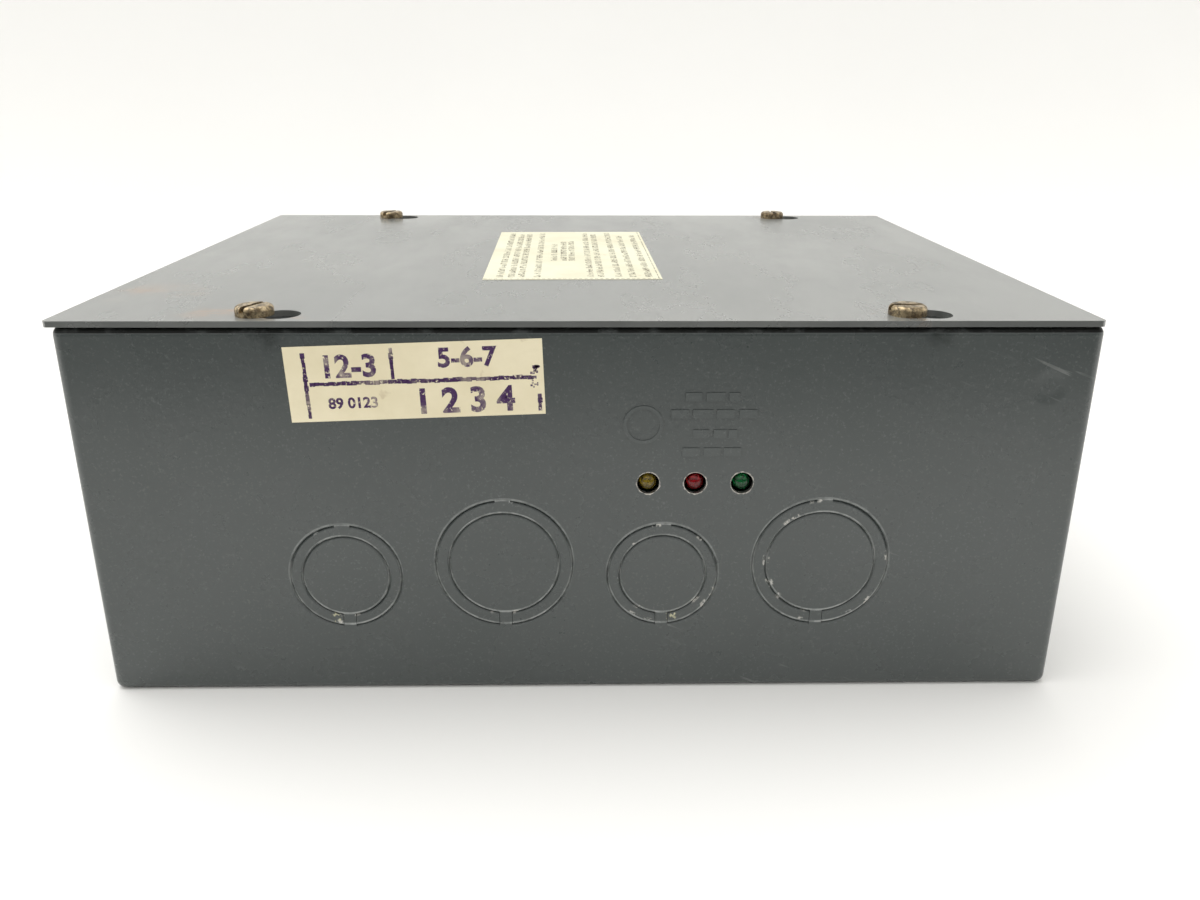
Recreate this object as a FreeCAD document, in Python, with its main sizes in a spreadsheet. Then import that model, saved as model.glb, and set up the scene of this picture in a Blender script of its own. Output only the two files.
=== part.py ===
"""Hard-wired surge protector in a flat, grey sheet-steel box with a screwed keyhole cover.

The origin is the centre of the box's back face, which lies on z = 0. X runs along the long
side, Y away from the wall that holds the indicator lights, and Z towards the cover.
"""
import FreeCAD, Part
import Sketcher
import math
import os
import re

SIZES = {
    # sheet-steel box
    "box_length": 254.0, "box_depth": 203.2, "box_height": 101.6,
    "sheet": 1.52, "bend": 2.2, "corner": 2.7, "flange": 14.0, "seam": 0.5,
    # cover: a flat plate a little longer than the box, held by four screws in keyholes
    "cover_over_x": 0.5, "cover_over_y": 0.4, "cover_corner": 1.2, "cover_shift": -0.95,
    "screw_inset_x": 47.0, "screw_edge": 7.2, "shank_point": 0.5,
    "head_width": 9.3, "head_height": 2.5, "head_edge": 1.1, "slot_width": 1.4, "slot_depth": 1.4,
    "shank_width": 4.83, "shank_length": 9.5, "running_gap": 0.06,
    "key_travel": 6.1, "head_play": 0.7, "shank_play": 0.47,
    # knockouts: a centre disc inside a split ring
    "ko_pitch": 41.2, "ko_base": 19.3, "ko_neck": 3.2, "ko_tab": 3.9, "ko_cut": 0.12,
    "ko_edge": 0.42,
    "ko_small_disc": 22.4, "ko_small_ring": 28.9, "ko_large_disc": 28.4, "ko_large_ring": 35.6,
    "dimple_width": 3.2, "dimple_height": 1.6, "dimple_depth": 0.6, "dimple_inset": 0.5,
    # marks pressed into the front wall
    "mark_height": 0.25, "mark_ring": 10.0, "mark_band": 0.9, "mark_row": 2.2,
    "mark_x": 14.9, "mark_z": 75.4,
    # paper labels
    "paper": 0.12, "top_label_width": 52.0, "top_label_length": 98.0, "top_label_turn": 1.0,
    "top_label_x": -3.7, "top_label_y": 0.8,
    "stamp_width": 62.4, "stamp_height": 19.0, "stamp_turn": 2.0, "stamp_x": -40.7, "stamp_z": 86.8,
    # holes in the back for the wall screws
    "mount_inset": 25.4, "mount_hole": 7.0,
    # indicator lights on a small board of their own
    "lamp_width": 5.0, "lamp_play": 0.7, "lamp_length": 8.6, "lamp_rim": 5.8, "lamp_rim_thick": 1.0,
    "lamp_z": 59.8, "lamp_pitch": 11.9, "lamp_x": 28.3, "lead_width": 0.5, "lead_gap": 2.54,
    "lamp_lead": 3.5,
    "dome_flat": 0.05, "spacer_inset": 1.0, "board_thick": 1.6, "lamp_board_width": 48.0,
    "lamp_board_height": 20.0,
    "spacer_width": 6.0,
    # main board on standoffs
    "board_length": 170.0, "board_depth": 120.0, "board_y": 10.0, "post_height": 12.7,
    "post_width": 6.35, "post_inset": 6.0, "post_bore": 3.2, "board_screw_head": 5.6,
    "board_screw_height": 2.2, "board_screw_length": 6.0, "board_play": 0.4, "post_floor": 4.0,
    "film": 0.4, "film_gap": 3.0,
    # terminal block
    "ways": 6.0, "way_pitch": 11.0, "block_depth": 22.0, "block_height": 18.0,
    "block_step": 8.0, "block_lip": 4.0,
    "plate_back": 1.4, "plate_play": 1.0, "clamp_slot": 0.9,
    "block_x": -40.0, "block_edge": 3.0, "block_wall": 1.4, "clamp_screw": 6.0, "clamp_height": 2.4,
    "clamp_plate": 1.2,
    # parts on the board
    "disc_width": 20.0, "disc_thick": 5.0, "disc_pitch": 10.5, "disc_count": 6.0, "disc_lift": 3.0,
    "disc_x": -48.0, "disc_y": -4.0, "disc_lead": 0.8, "disc_round": 1.8, "disc_lead_gap": 7.5,
    "fuse_width": 6.35, "fuse_length": 32.0, "cap_length": 6.5, "fuse_x": 24.0, "fuse_y": -17.0,
    "fuse_pitch": 13.0, "fuse_lift": 4.0, "clip_thick": 0.5, "clip_length": 6.0,
    "clip_play": 0.1, "clip_share": 0.8, "glass_step": 0.8, "glass_seat": 1.0,
    "film_cap_length": 26.0, "film_cap_width": 10.0, "film_cap_height": 18.0, "film_cap_x": 22.0,
    "film_cap_y": 14.0, "film_cap_pitch": 14.0, "case_round": 0.8,
    "can_width": 25.0, "can_height": 40.0, "can_x": 62.0, "can_y": 20.0, "can_rim": 2.0, "can_dip": 0.5,
    "relay_length": 28.0, "relay_width": 30.0, "relay_height": 25.0, "relay_x": 62.0, "relay_y": -18.0,
    "relay_round": 1.0,
    "bridge_side": 20.0, "bridge_height": 7.0, "bridge_x": 62.0, "bridge_y": 52.0, "bridge_round": 2.0,
    "bridge_hole": 4.0,
    "ring_radius": 15.0, "ring_thick": 5.5, "coil_wire": 1.2, "coil_turns": 11.0, "coil_play": 0.02,
    "coil_spread": 130.0,
    "ring_x": -50.0, "ring_y": 42.0,
    "resistor_length": 22.0, "resistor_width": 9.5, "resistor_x": -6.0, "resistor_y": 30.0,
    "resistor_pitch": 14.0, "resistor_count": 3.0, "resistor_lift": 2.0, "resistor_inset": 3.0,
    "header_width": 13.0, "header_depth": 6.0, "header_height": 8.5, "header_x": 28.3,
    "header_edge": 4.5, "header_pitch": 2.54, "lead_wire": 1.4,
    # earth bond
    "lug_x": -108.0, "lug_y": 12.0, "lug_width": 10.0, "lug_foot": 11.0, "lug_barrel": 10.0,
    "lug_height": 9.0, "lug_plate": 2.0, "lug_bore": 4.2, "lug_screw": 6.0, "lug_head": 9.6,
    "lug_head_height": 2.6, "clamp_width": 4.0, "clamp_proud": 1.5, "earth_wire": 3.4, "earth_pad_x": -77.0,
}

doc = FreeCAD.newDocument("surge_box")
sheet = doc.addObject("Spreadsheet::Sheet", "sizes")
for row, (name, number) in enumerate(SIZES.items(), 1):
    sheet.set(f"A{row}", name)
    sheet.set(f"B{row}", str(number))
    sheet.setAlias(f"B{row}", name)
doc.recompute()

X, Y, Z = FreeCAD.Vector(1, 0, 0), FreeCAD.Vector(0, 1, 0), FreeCAD.Vector(0, 0, 1)
UPRIGHT = FreeCAD.Rotation()
TO_FRONT = FreeCAD.Rotation(X, 90)      # turns +Z to -Y
TO_BACK = FreeCAD.Rotation(X, -90)      # turns +Z to +Y
TO_RIGHT = FreeCAD.Rotation(Y, 90)      # turns +Z to +X
TO_LEFT = FreeCAD.Rotation(Y, -90)      # turns +Z to -X
FRONT_SHEET = "-box_depth / 2"
FRONT_INSIDE = "-box_depth / 2 + sheet"
BOX_TOP = "box_height - sheet"
BOARD_TOP = "sheet + post_height + board_thick"
BOARD_FRONT = "board_y - board_depth / 2"
nodes = {}


def size(name):
    return float(sheet.get(name))


def formula(text):
    """The expression for a text that names sizes, such as box_length / 2 - sheet."""
    def cell(word):
        return "sizes." + word.group() if word.group() in SIZES else word.group()
    return re.sub(r"[a-z_]+", cell, str(text))


def bind(item, **texts):
    for key, text in texts.items():
        item.setExpression(key, formula(text))
    return item


def place(item, at, turn=UPRIGHT):
    """Put an item's own origin at three texts, turned about that origin."""
    item.Placement = FreeCAD.Placement(FreeCAD.Vector(), turn)
    for axis, text in zip("xyz", at):
        item.setExpression("Placement.Base." + axis, formula(text))
    return item


def block(length, depth, height, at, turn=UPRIGHT):
    """A box whose bottom face is centred on the place given."""
    item = bind(doc.addObject("Part::Box", "block"), Length=length, Width=depth, Height=height)
    shift = turn.multVec(FreeCAD.Vector(1, 0, 0)), turn.multVec(FreeCAD.Vector(0, 1, 0))
    texts = []
    for index, text in enumerate(at):
        along, across = round(shift[0][index], 6), round(shift[1][index], 6)
        texts.append(f"({text}) - ({along}) * ({length}) / 2 - ({across}) * ({depth}) / 2")
    return place(item, texts, turn)


def rod(width, height, at, turn=UPRIGHT):
    item = bind(doc.addObject("Part::Cylinder", "rod"), Radius=f"({width}) / 2", Height=height)
    return place(item, at, turn)


def fused(*items):
    item = doc.addObject("Part::MultiFuse", "fused")
    item.Shapes = list(items)
    return item


def cut(base, *tools):
    item = doc.addObject("Part::Cut", "cut")
    item.Base = base
    item.Tool = tools[0] if len(tools) == 1 else fused(*tools)
    return item


def common(*items):
    item = doc.addObject("Part::MultiCommon", "common")
    item.Shapes = list(items)
    return item


def group(*items):
    item = doc.addObject("Part::Compound", "group")
    item.Links = list(items)
    return item


def node(label, item):
    item.Label = label
    nodes[label] = item
    return item


def plane(body, role):
    return next(feature for feature in body.Origin.OriginFeatures if feature.Role == role)


def outline(body, role, corners):
    """A closed sketch through corners that are given as pairs of texts."""
    sketch = body.newObject("Sketcher::SketchObject", "outline")
    sketch.AttachmentSupport = (plane(body, role), [""])
    sketch.MapMode = "FlatFace"
    turn = 2 * math.pi / len(corners)
    start = [FreeCAD.Vector(math.cos(turn * i), math.sin(turn * i), 0) for i in range(len(corners))]
    lines = [Part.LineSegment(start[i - 1], start[i]) for i in range(len(corners))]
    ids = sketch.addGeometry(lines)
    for i, (across, up) in enumerate(corners):
        sketch.addConstraint(Sketcher.Constraint("Coincident", ids[i - 1], 2, ids[i], 1))
        for kind, text in (("DistanceX", across), ("DistanceY", up)):
            number = sketch.addConstraint(Sketcher.Constraint(kind, -1, 1, ids[i], 1, 1.0))
            sketch.setExpression(f"Constraints[{number}]", formula(text))
    return sketch


def padded(role, corners, length, at=("0", "0", "0")):
    body = doc.addObject("PartDesign::Body", "padded")
    pad = body.newObject("PartDesign::Pad", "pad")
    pad.Profile = outline(body, role, corners)
    bind(pad, Length=length)
    body.Tip = pad
    return place(body, at)


def turned(corners, at=("0", "0", "0"), turn=UPRIGHT):
    """A solid of revolution about its own Z from pairs of radius and height."""
    body = doc.addObject("PartDesign::Body", "turned")
    sketch = outline(body, "XZ_Plane", corners)
    revolution = body.newObject("PartDesign::Revolution", "revolution")
    revolution.Profile = sketch
    revolution.ReferenceAxis = (sketch, ["V_Axis"])
    revolution.Angle = 360
    body.Tip = revolution
    return place(body, at, turn)


def rounded(body, radius, keep):
    """Round the edges of a body whose shape passes the test."""
    doc.recompute()
    base = body.Tip
    names = [f"Edge{i}" for i, edge in enumerate(base.Shape.Edges, 1) if keep(edge)]
    fillet = body.newObject("PartDesign::Fillet", "rounding")
    fillet.Base = (base, names)
    bind(fillet, Radius=radius)
    body.Tip = fillet
    return body


def rectangle(length, depth):
    half_length, half_depth = f"({length}) / 2", f"({depth}) / 2"
    return [("-" + half_length, "-" + half_depth), (half_length, "-" + half_depth),
            (half_length, half_depth), ("-" + half_length, half_depth)]


def upright_edge(edge):
    return abs(edge.tangentAt(edge.FirstParameter).z) > 0.9


def level_edge(edge):
    return edge.BoundBox.ZLength < 0.01


def top_rim(edge):
    box = edge.BoundBox
    return isinstance(edge.Curve, Part.Circle) and box.ZLength < 0.01 and box.ZMin > 0.1


def tube(points, width):
    """A wire of round section along straight runs joined by tangent arcs."""
    points = [FreeCAD.Vector(*point) for point in points]
    edges, start = [], points[0]
    for before, corner, after in zip(points, points[1:], points[2:]):
        back, ahead = before - corner, after - corner
        half = (math.pi - back.getAngle(ahead)) / 2
        reach = 0.45 * min(back.Length, ahead.Length)
        first = corner + back.normalize() * reach
        last = corner + ahead.normalize() * reach
        middle = (back + ahead).normalize()
        radius = reach / math.tan(half)
        crown = corner + middle * (radius / math.cos(half) - radius)
        edges.append(Part.LineSegment(start, first).toShape())
        edges.append(Part.Arc(first, crown, last).toShape())
        start = last
        print(f"  wire {width} mm thick bends at {radius:.1f} mm")
    edges.append(Part.LineSegment(start, points[-1]).toShape())
    path = Part.Wire(edges)
    circle = Part.makeCircle(width / 2, points[0], points[1] - points[0])
    item = doc.addObject("Part::Feature", "tube")
    item.Shape = path.makePipeShell([Part.Wire(circle)], True, True)
    print(f"  wire volume {item.Shape.Volume / (math.pi * width ** 2 / 4 * path.Length):.4f} of length")
    return item


# ---- knockouts ---------------------------------------------------------------------------------

WALLS = {
    "front": {"turn": TO_FRONT, "x": "{0}", "y": "-box_depth / 2 + sheet"},
    "back": {"turn": TO_BACK, "x": "-({0})", "y": "box_depth / 2 - sheet"},
    "left": {"turn": TO_LEFT, "x": "-box_length / 2 + sheet", "y": "-({0})"},
    "right": {"turn": TO_RIGHT, "x": "box_length / 2 - sheet", "y": "{0}"},
}
LONG_ROW = [(-1.5, "small"), (-0.5, "large"), (0.5, "small"), (1.5, "large")]
SHORT_ROW = [(-1, "large"), (0, "small"), (1, "large")]
KNOCKOUTS = {"front": LONG_ROW, "back": LONG_ROW, "left": SHORT_ROW, "right": SHORT_ROW}


def spot(wall, steps, up, inward="0"):
    """A place on a wall's inner face, or further in, at a number of pitches from its middle."""
    side = WALLS[wall]
    along = f"({steps}) * ko_pitch"
    x, y = side["x"].format(along), side["y"].format(along)
    if wall in ("front", "back"):
        y = f"({y}) {'-' if wall == 'front' else '+'} ({inward})"
    else:
        x = f"({x}) {'-' if wall == 'left' else '+'} ({inward})"
    return x, y, up


def across(wall, width, height, depth, place_at):
    """A block against a wall: its width along the wall, its depth through the sheet."""
    x, y, z = place_at
    if wall in ("front", "back"):
        sign = "-" if wall == "front" else "+"
        return block(width, depth, height, (x, f"({y}) {sign} ({depth}) / 2", z))
    sign = "-" if wall == "left" else "+"
    return block(depth, width, height, (f"({x}) {sign} ({depth}) / 2", y, z))


def knockout(wall, steps, kind):
    """The hole in the wall, the split ring and the centre disc of one knockout.

    The sheared edges are rounded over on the outside, so a small V runs along each cut.
    """
    turn = WALLS[wall]["turn"]
    disc, ring = f"ko_{kind}_disc / 2", f"ko_{kind}_ring / 2"
    centre = f"ko_base + {ring}"
    place_at = spot(wall, steps, centre)
    hole = turned([("0", "0"), (ring, "0"), (ring, "sheet - ko_edge"), (f"{ring} + ko_edge", "sheet"),
                   ("0", "sheet")], place_at, turn)
    centre_disc = turned([("0", "0"), (disc, "0"), (disc, "sheet - ko_edge"),
                          (f"{disc} - ko_edge", "sheet"), ("0", "sheet")], place_at, turn)
    foot = spot(wall, steps, "ko_base - 1")
    neck = across(wall, "ko_neck", f"{ring} + 1", "sheet", foot)
    disc_item = common(fused(centre_disc, neck), hole)
    inner, outer = f"{disc} + ko_cut", f"{ring} - ko_cut"
    band = turned([(inner, "0"), (outer, "0"), (outer, "sheet - ko_edge"), (f"{outer} - ko_edge", "sheet"),
                   (f"{inner} + ko_edge", "sheet"), (inner, "sheet - ko_edge")], place_at, turn)
    split = across(wall, "ko_neck + 2 * ko_cut", f"{ring} + 1", "sheet", foot)
    tab_at = spot(wall, steps, f"{centre} + {disc} + ko_cut + ko_edge")
    tab = across(wall, "ko_tab", f"{ring} - {disc}", "sheet", tab_at)
    up, floor = f"{centre} + {ring} - dimple_inset", "dimple_depth - sheet"
    ends = [rod("dimple_height", "2 * dimple_depth",
                spot(wall, f"{steps} + {side} * (dimple_width - dimple_height) / 2 / ko_pitch",
                     f"{up} - dimple_height / 2", floor), turn) for side in (-1, 1)]
    dimple = fused(*ends, across(wall, "dimple_width - dimple_height", "dimple_height", "2 * dimple_depth",
                                 spot(wall, steps, f"{up} - dimple_height", floor)))
    ring_item = cut(common(fused(band, tab), hole), split, dimple)
    return hole, ring_item, disc_item


def knockouts():
    holes = []
    for wall, rows in KNOCKOUTS.items():
        rings, discs = [], []
        for number, (steps, kind) in enumerate(rows, 1):
            hole, ring, disc = knockout(wall, steps, kind)
            holes.append(hole)
            rings.append(ring)
            discs.append(disc)
            if wall == "front":
                node(f"knockout_ring_front_{number}", ring)
                node(f"knockout_disc_front_{number}", disc)
        if wall != "front":
            node(f"knockout_rings_{wall}", group(*rings))
            node(f"knockout_discs_{wall}", group(*discs))
    return holes


# ---- box and cover -----------------------------------------------------------------------------

CORNERS = [("front_left", -1, -1), ("front_right", 1, -1), ("back_left", -1, 1), ("back_right", 1, 1)]


def screw_place(side_x, side_y, up):
    return f"{side_x} * (box_length / 2 - screw_inset_x)", f"{side_y} * (box_depth / 2 - screw_edge)", up


def lamp_place(index, inward="0"):
    return f"lamp_x + ({index}) * lamp_pitch", f"-box_depth / 2 + ({inward})", "lamp_z"


def post_place(side_x, side_y, up):
    return (f"{side_x} * (board_length / 2 - post_inset)",
            f"board_y + {side_y} * (board_depth / 2 - post_inset)", up)


def raised_marks():
    """A plain ring and rows of plain dashes, pressed a little out of the front wall."""
    face = "-box_depth / 2"
    ring_at = ("mark_x", face, "mark_z")
    ring = cut(rod("mark_ring", "mark_height", ring_at, TO_FRONT),
               rod("mark_ring - 2 * mark_band", "mark_height", ring_at, TO_FRONT))
    marks = [ring]
    rows = [(82.6, [(27.2, 4.0), (32.6, 4.6), (37.2, 2.6)]),
            (78.2, [(23.9, 4.4), (29.6, 5.0), (35.2, 4.4), (40.8, 4.4)]),
            (73.0, [(29.3, 4.0), (34.0, 3.2), (37.2, 2.2)]),
            (68.2, [(26.9, 4.4), (32.2, 4.2), (37.3, 4.4)])]
    for up, dashes in rows:
        for middle, width in dashes:
            marks.append(block(width, "mark_height", "mark_row",
                               (middle, f"{face} - mark_height / 2", f"{up} - mark_row / 2")))
    return marks


def folded_block(inset):
    """A block with rounded upright corners and bent rims, set in by a distance all round."""
    body = padded("XY_Plane", rectangle(f"box_length - 2 * {inset}", f"box_depth - 2 * {inset}"),
                  f"{BOX_TOP} - 2 * {inset}", ("0", "0", inset))
    return rounded(rounded(body, f"corner - {inset}", upright_edge), f"bend - {inset}", level_edge)


def corner_seam(side_x, side_y):
    """The slit between two return flanges, along the diagonal of a corner."""
    half_root = math.sqrt(0.5)
    seam = bind(doc.addObject("Part::Box", "seam"), Length="1.2 * flange + seam", Width="seam",
                Height="3 * sheet")
    at = (f"{side_x} * (box_length / 2 - flange - {half_root} * seam) + {side_y * half_root} * seam / 2",
          f"{side_y} * (box_depth / 2 - flange - {half_root} * seam) - {side_x * half_root} * seam / 2",
          f"{BOX_TOP} - 1.5 * sheet")
    return place(seam, at, FreeCAD.Rotation(Z, math.degrees(math.atan2(side_y, side_x))))


def enclosure_tray(knockout_holes):
    shell, hollow = folded_block("0"), folded_block("sheet")
    mouth = block("box_length - 2 * flange", "box_depth - 2 * flange", "4 * sheet",
                  ("0", "0", f"{BOX_TOP} - 2 * sheet"))
    tools = [hollow, mouth] + knockout_holes
    for name, side_x, side_y in CORNERS:
        tools.append(rod("shank_width + 2 * running_gap", "3 * sheet",
                         screw_place(side_x, side_y, f"{BOX_TOP} - 2 * sheet")))
        tools.append(rod("mount_hole", "3 * sheet",
                         (f"{side_x} * (box_length / 2 - mount_inset)",
                          f"{side_y} * (box_depth / 2 - mount_inset)", "-sheet")))
        tools.append(rod("post_width", "3 * sheet", post_place(side_x, side_y, "-sheet")))
        tools.append(corner_seam(side_x, side_y))
    for index in (-1, 0, 1):
        tools.append(rod("lamp_width + lamp_play", "3 * sheet", lamp_place(index, "2 * sheet"), TO_FRONT))
    tools.append(rod("lug_screw", "3 * sheet", ("lug_x", "lug_y - lug_foot / 2", "-sheet")))
    walls = cut(shell, *tools)
    return node("enclosure_tray", fused(walls, *raised_marks()))


def cover_plate():
    outer = rectangle("box_length + cover_over_x", "box_depth + cover_over_y")
    plate = rounded(padded("XY_Plane", outer, "sheet",
                           ("cover_shift", "0", BOX_TOP)), "cover_corner", upright_edge)
    tools, hole, slot = [], "head_width + head_play", "shank_width + shank_play"
    for name, side_x, side_y in CORNERS:
        x, y, z = screw_place(side_x, side_y, f"{BOX_TOP} - sheet")
        tools.append(rod(slot, "3 * sheet", (x, y, z)))
        tools.append(rod(hole, "3 * sheet", (f"{x} + key_travel", y, z)))
        tools.append(block("key_travel", slot, "3 * sheet", (f"{x} + key_travel / 2", y, z)))
    return node("cover_plate", cut(plate, *tools))


def cover_screw(name, side_x, side_y, slot_turn):
    """A slotted pan-head machine screw, its head down on the cover."""
    profile = [("0", "-shank_length"), ("shank_width / 2 - shank_point", "-shank_length"),
               ("shank_width / 2", "shank_point - shank_length"), ("shank_width / 2", "0"),
               ("head_width / 2", "0"), ("head_width / 2", "head_height"), ("0", "head_height")]
    screw = rounded(turned(profile, screw_place(side_x, side_y, "box_height")), "head_edge", top_rim)
    slot = bind(doc.addObject("Part::Box", "slot"), Length="2 * head_width", Width="slot_width",
                Height="slot_depth + 1")
    turn = FreeCAD.Rotation(Z, slot_turn)
    along, side = math.cos(math.radians(slot_turn)), math.sin(math.radians(slot_turn))
    x, y, z = screw_place(side_x, side_y, "box_height + head_height - slot_depth")
    place(slot, (f"{x} - ({along:.6f}) * head_width + ({side:.6f}) * slot_width / 2",
                 f"{y} - ({side:.6f}) * head_width - ({along:.6f}) * slot_width / 2", z), turn)
    return node(f"cover_screw_{name}", cut(screw, slot))


def labels():
    top = padded("XY_Plane", rectangle("top_label_width", "top_label_length"), "paper",
                 ("top_label_x", "top_label_y", "box_height"))
    top.Placement.Rotation = FreeCAD.Rotation(Z, size("top_label_turn"))
    node("cover_label", top)
    stamp = padded("XY_Plane", rectangle("stamp_width", "stamp_height"), "paper")
    turn = FreeCAD.Rotation(X, 90).multiply(FreeCAD.Rotation(Z, size("stamp_turn")))
    node("stamp_label", place(stamp, ("stamp_x", FRONT_SHEET, "stamp_z"), turn))


# ---- indicator lights --------------------------------------------------------------------------

LAMP_BOARD_FACE = "lamp_length + lamp_lead"


def indicator(colour, index):
    """A round lamp whose dome ends level with the outside of the front wall."""
    profile = [("0", "0"), ("lamp_rim / 2", "0"), ("lamp_rim / 2", "lamp_rim_thick"),
               ("lamp_width / 2", "lamp_rim_thick"), ("lamp_width / 2", "lamp_length"),
               ("0", "lamp_length")]
    lamp = turned(profile, lamp_place(index, "lamp_length"), TO_FRONT)
    doc.recompute()
    base = lamp.Tip
    names = [f"Edge{i}" for i, edge in enumerate(base.Shape.Edges, 1)
             if isinstance(edge.Curve, Part.Circle) and edge.BoundBox.ZMin > size("lamp_length") - 0.01]
    dome = lamp.newObject("PartDesign::Fillet", "dome")
    dome.Base = (base, names)
    bind(dome, Radius="lamp_width / 2 - dome_flat")
    lamp.Tip = dome
    node(f"led_{colour}", lamp)


def lamp_leads():
    leads = []
    for index in (-1, 0, 1):
        x, y, z = lamp_place(index, LAMP_BOARD_FACE)
        for side in (-1, 1):
            leads.append(rod("lead_width", "lamp_lead", (f"{x} + {side} * lead_gap / 2", y, z), TO_FRONT))
    node("led_leads", group(*leads))


def lamp_board():
    x, y, z = lamp_place(0, LAMP_BOARD_FACE)
    board = block("lamp_board_width", "board_thick", "lamp_board_height",
                  (x, f"{y} + board_thick / 2", f"{z} - lamp_board_height / 2"))
    node("led_board", board)
    spacers = []
    for side in (-1, 1):
        at = (f"{x} + {side} * (lamp_board_width / 2 - spacer_width / 2 - spacer_inset)", y, z)
        spacers.append(rod("spacer_width", f"{LAMP_BOARD_FACE} - sheet", at, TO_FRONT))
    node("led_board_spacers", group(*spacers))


# ---- main board and what holds it --------------------------------------------------------------

def main_board():
    board = block("board_length", "board_depth", "board_thick", ("0", "board_y", "sheet + post_height"))
    holes = [rod("post_bore + board_play", "3 * board_thick", post_place(side_x, side_y, "post_height"))
             for name, side_x, side_y in CORNERS]
    node("main_board", cut(board, *holes))
    posts, screws = [], []
    for name, side_x, side_y in CORNERS:
        post = turned([("0", "0"), ("post_width / 2", "0"), ("post_width / 2", "post_height + sheet"),
                       ("post_bore / 2", "post_height + sheet"), ("post_bore / 2", "sheet + post_floor"),
                       ("0", "sheet + post_floor")], post_place(side_x, side_y, "0"))
        posts.append(post)
        tip, shank = "-board_thick - board_screw_length", "post_bore / 2 - running_gap"
        screw = turned([("0", tip), (shank, tip), (shank, "0"), ("board_screw_head / 2", "0"),
                        ("board_screw_head / 2", "board_screw_height"), ("0", "board_screw_height")],
                       post_place(side_x, side_y, BOARD_TOP))
        screws.append(rounded(screw, "board_screw_height / 3", top_rim))
    node("board_standoffs", group(*posts))
    node("board_screws", group(*screws))
    sheet_at = ("0", "board_y", "sheet")
    film = block("board_length", "board_depth", "film", sheet_at)
    cutouts = [rod("post_width + film_gap", "3 * film", post_place(side_x, side_y, "sheet - film"))
               for name, side_x, side_y in CORNERS]
    node("insulator_sheet", cut(film, *cutouts))


def terminal_block():
    """A stepped barrier strip: screws on the low front step, cells between thin walls."""
    front = f"{BOARD_FRONT} + block_edge"
    length = "ways * way_pitch + block_wall"
    profile = [("0", "0"), ("block_depth", "0"), ("block_depth", "block_height"),
               ("block_step + block_lip", "block_height"), ("block_step + block_lip", "block_height / 2"),
               ("0", "block_height / 2")]
    at = (f"block_x - ({length}) / 2", front, BOARD_TOP)
    parts = [padded("YZ_Plane", profile, length, at)]
    screws, plates = [], []
    for index in range(int(size("ways")) + 1):
        x = f"block_x + ({index} - ways / 2) * way_pitch"
        wall_at = (x, f"{front} + (block_step + block_lip) / 2", f"{BOARD_TOP} + block_height / 2")
        parts.append(block("block_wall", "block_step + block_lip", "block_height / 2", wall_at))
    for index in range(int(size("ways"))):
        x = f"block_x + ({index} + 0.5 - ways / 2) * way_pitch"
        y = f"{front} + block_step / 2 + plate_back"
        plate_at = (x, y, f"{BOARD_TOP} + block_height / 2")
        plates.append(block("way_pitch - block_wall - plate_play", "block_step", "clamp_plate", plate_at))
        up = f"{BOARD_TOP} + block_height / 2 + clamp_plate"
        head = rod("clamp_screw", "clamp_height", (x, y, up))
        slot = block("2 * clamp_screw", "clamp_slot", "clamp_height", (x, y, f"{up} + clamp_height / 2"))
        screws.append(cut(head, slot))
    node("terminal_block_base", fused(*parts))
    node("terminal_plates", group(*plates))
    node("terminal_screws", group(*screws))


def varistors():
    discs, leads = [], []
    count = int(size("disc_count"))
    for index in range(count):
        x = f"disc_x + ({index} - (disc_count - 1) / 2) * disc_pitch"
        body = turned([("0", "-disc_thick / 2"), ("disc_width / 2", "-disc_thick / 2"),
                       ("disc_width / 2", "disc_thick / 2"), ("0", "disc_thick / 2")],
                      (x, "disc_y", f"{BOARD_TOP} + disc_lift + disc_width / 2"), TO_RIGHT)
        discs.append(rounded(body, "disc_round",
                             lambda edge: isinstance(edge.Curve, Part.Circle)))
        for side in (-1, 1):
            y = f"disc_y + {side} * disc_lead_gap / 2"
            lift = ("disc_lift + disc_width / 2"
                    " - sqrt(disc_width ^ 2 - (disc_lead_gap - disc_lead) ^ 2) / 2")
            leads.append(rod("disc_lead", lift, (x, y, BOARD_TOP)))
    node("varistors", group(*discs))
    return leads


def fuses():
    tubes, caps, clips = [], [], []
    for index in (-0.5, 0.5):
        y = f"fuse_y + ({index}) * fuse_pitch"
        up = f"{BOARD_TOP} + fuse_lift + fuse_width / 2"
        start = ("fuse_x - fuse_length / 2", y, up)
        inner = (f"fuse_x - fuse_length / 2 + cap_length - glass_seat", y, up)
        glass = rod("fuse_width - glass_step", "fuse_length - 2 * (cap_length - glass_seat)", inner, TO_RIGHT)
        tubes.append(glass)
        for side in (-1, 1):
            middle = f"fuse_x + {side} * (fuse_length / 2 - cap_length / 2)"
            cap = rod("fuse_width", "cap_length", (f"{middle} - cap_length / 2", y, up), TO_RIGHT)
            pocket_at = inner if side < 0 else (f"fuse_x + fuse_length / 2 - cap_length", y, up)
            pocket = rod("fuse_width - glass_step", "glass_seat", pocket_at, TO_RIGHT)
            caps.append(cut(cap, pocket))
            base_at = (middle, y, BOARD_TOP)
            clips.append(fuse_clip(base_at))
    node("fuse_glass", group(*tubes))
    node("fuse_caps", group(*caps))
    node("fuse_clips", group(*clips))


def fuse_clip(at):
    """A spring clip: a foot on the board and two arms that stand up beside the fuse's cap."""
    x, y, z = at
    gap = "fuse_width + clip_play"
    foot = block("clip_length", gap, "fuse_lift", at)
    parts = [foot]
    for side in (-1, 1):
        parts.append(block("clip_length", "clip_thick", "fuse_lift + fuse_width * clip_share",
                           (x, f"{y} + {side} * ({gap} + clip_thick) / 2", z)))
    return fused(*parts)


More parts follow.
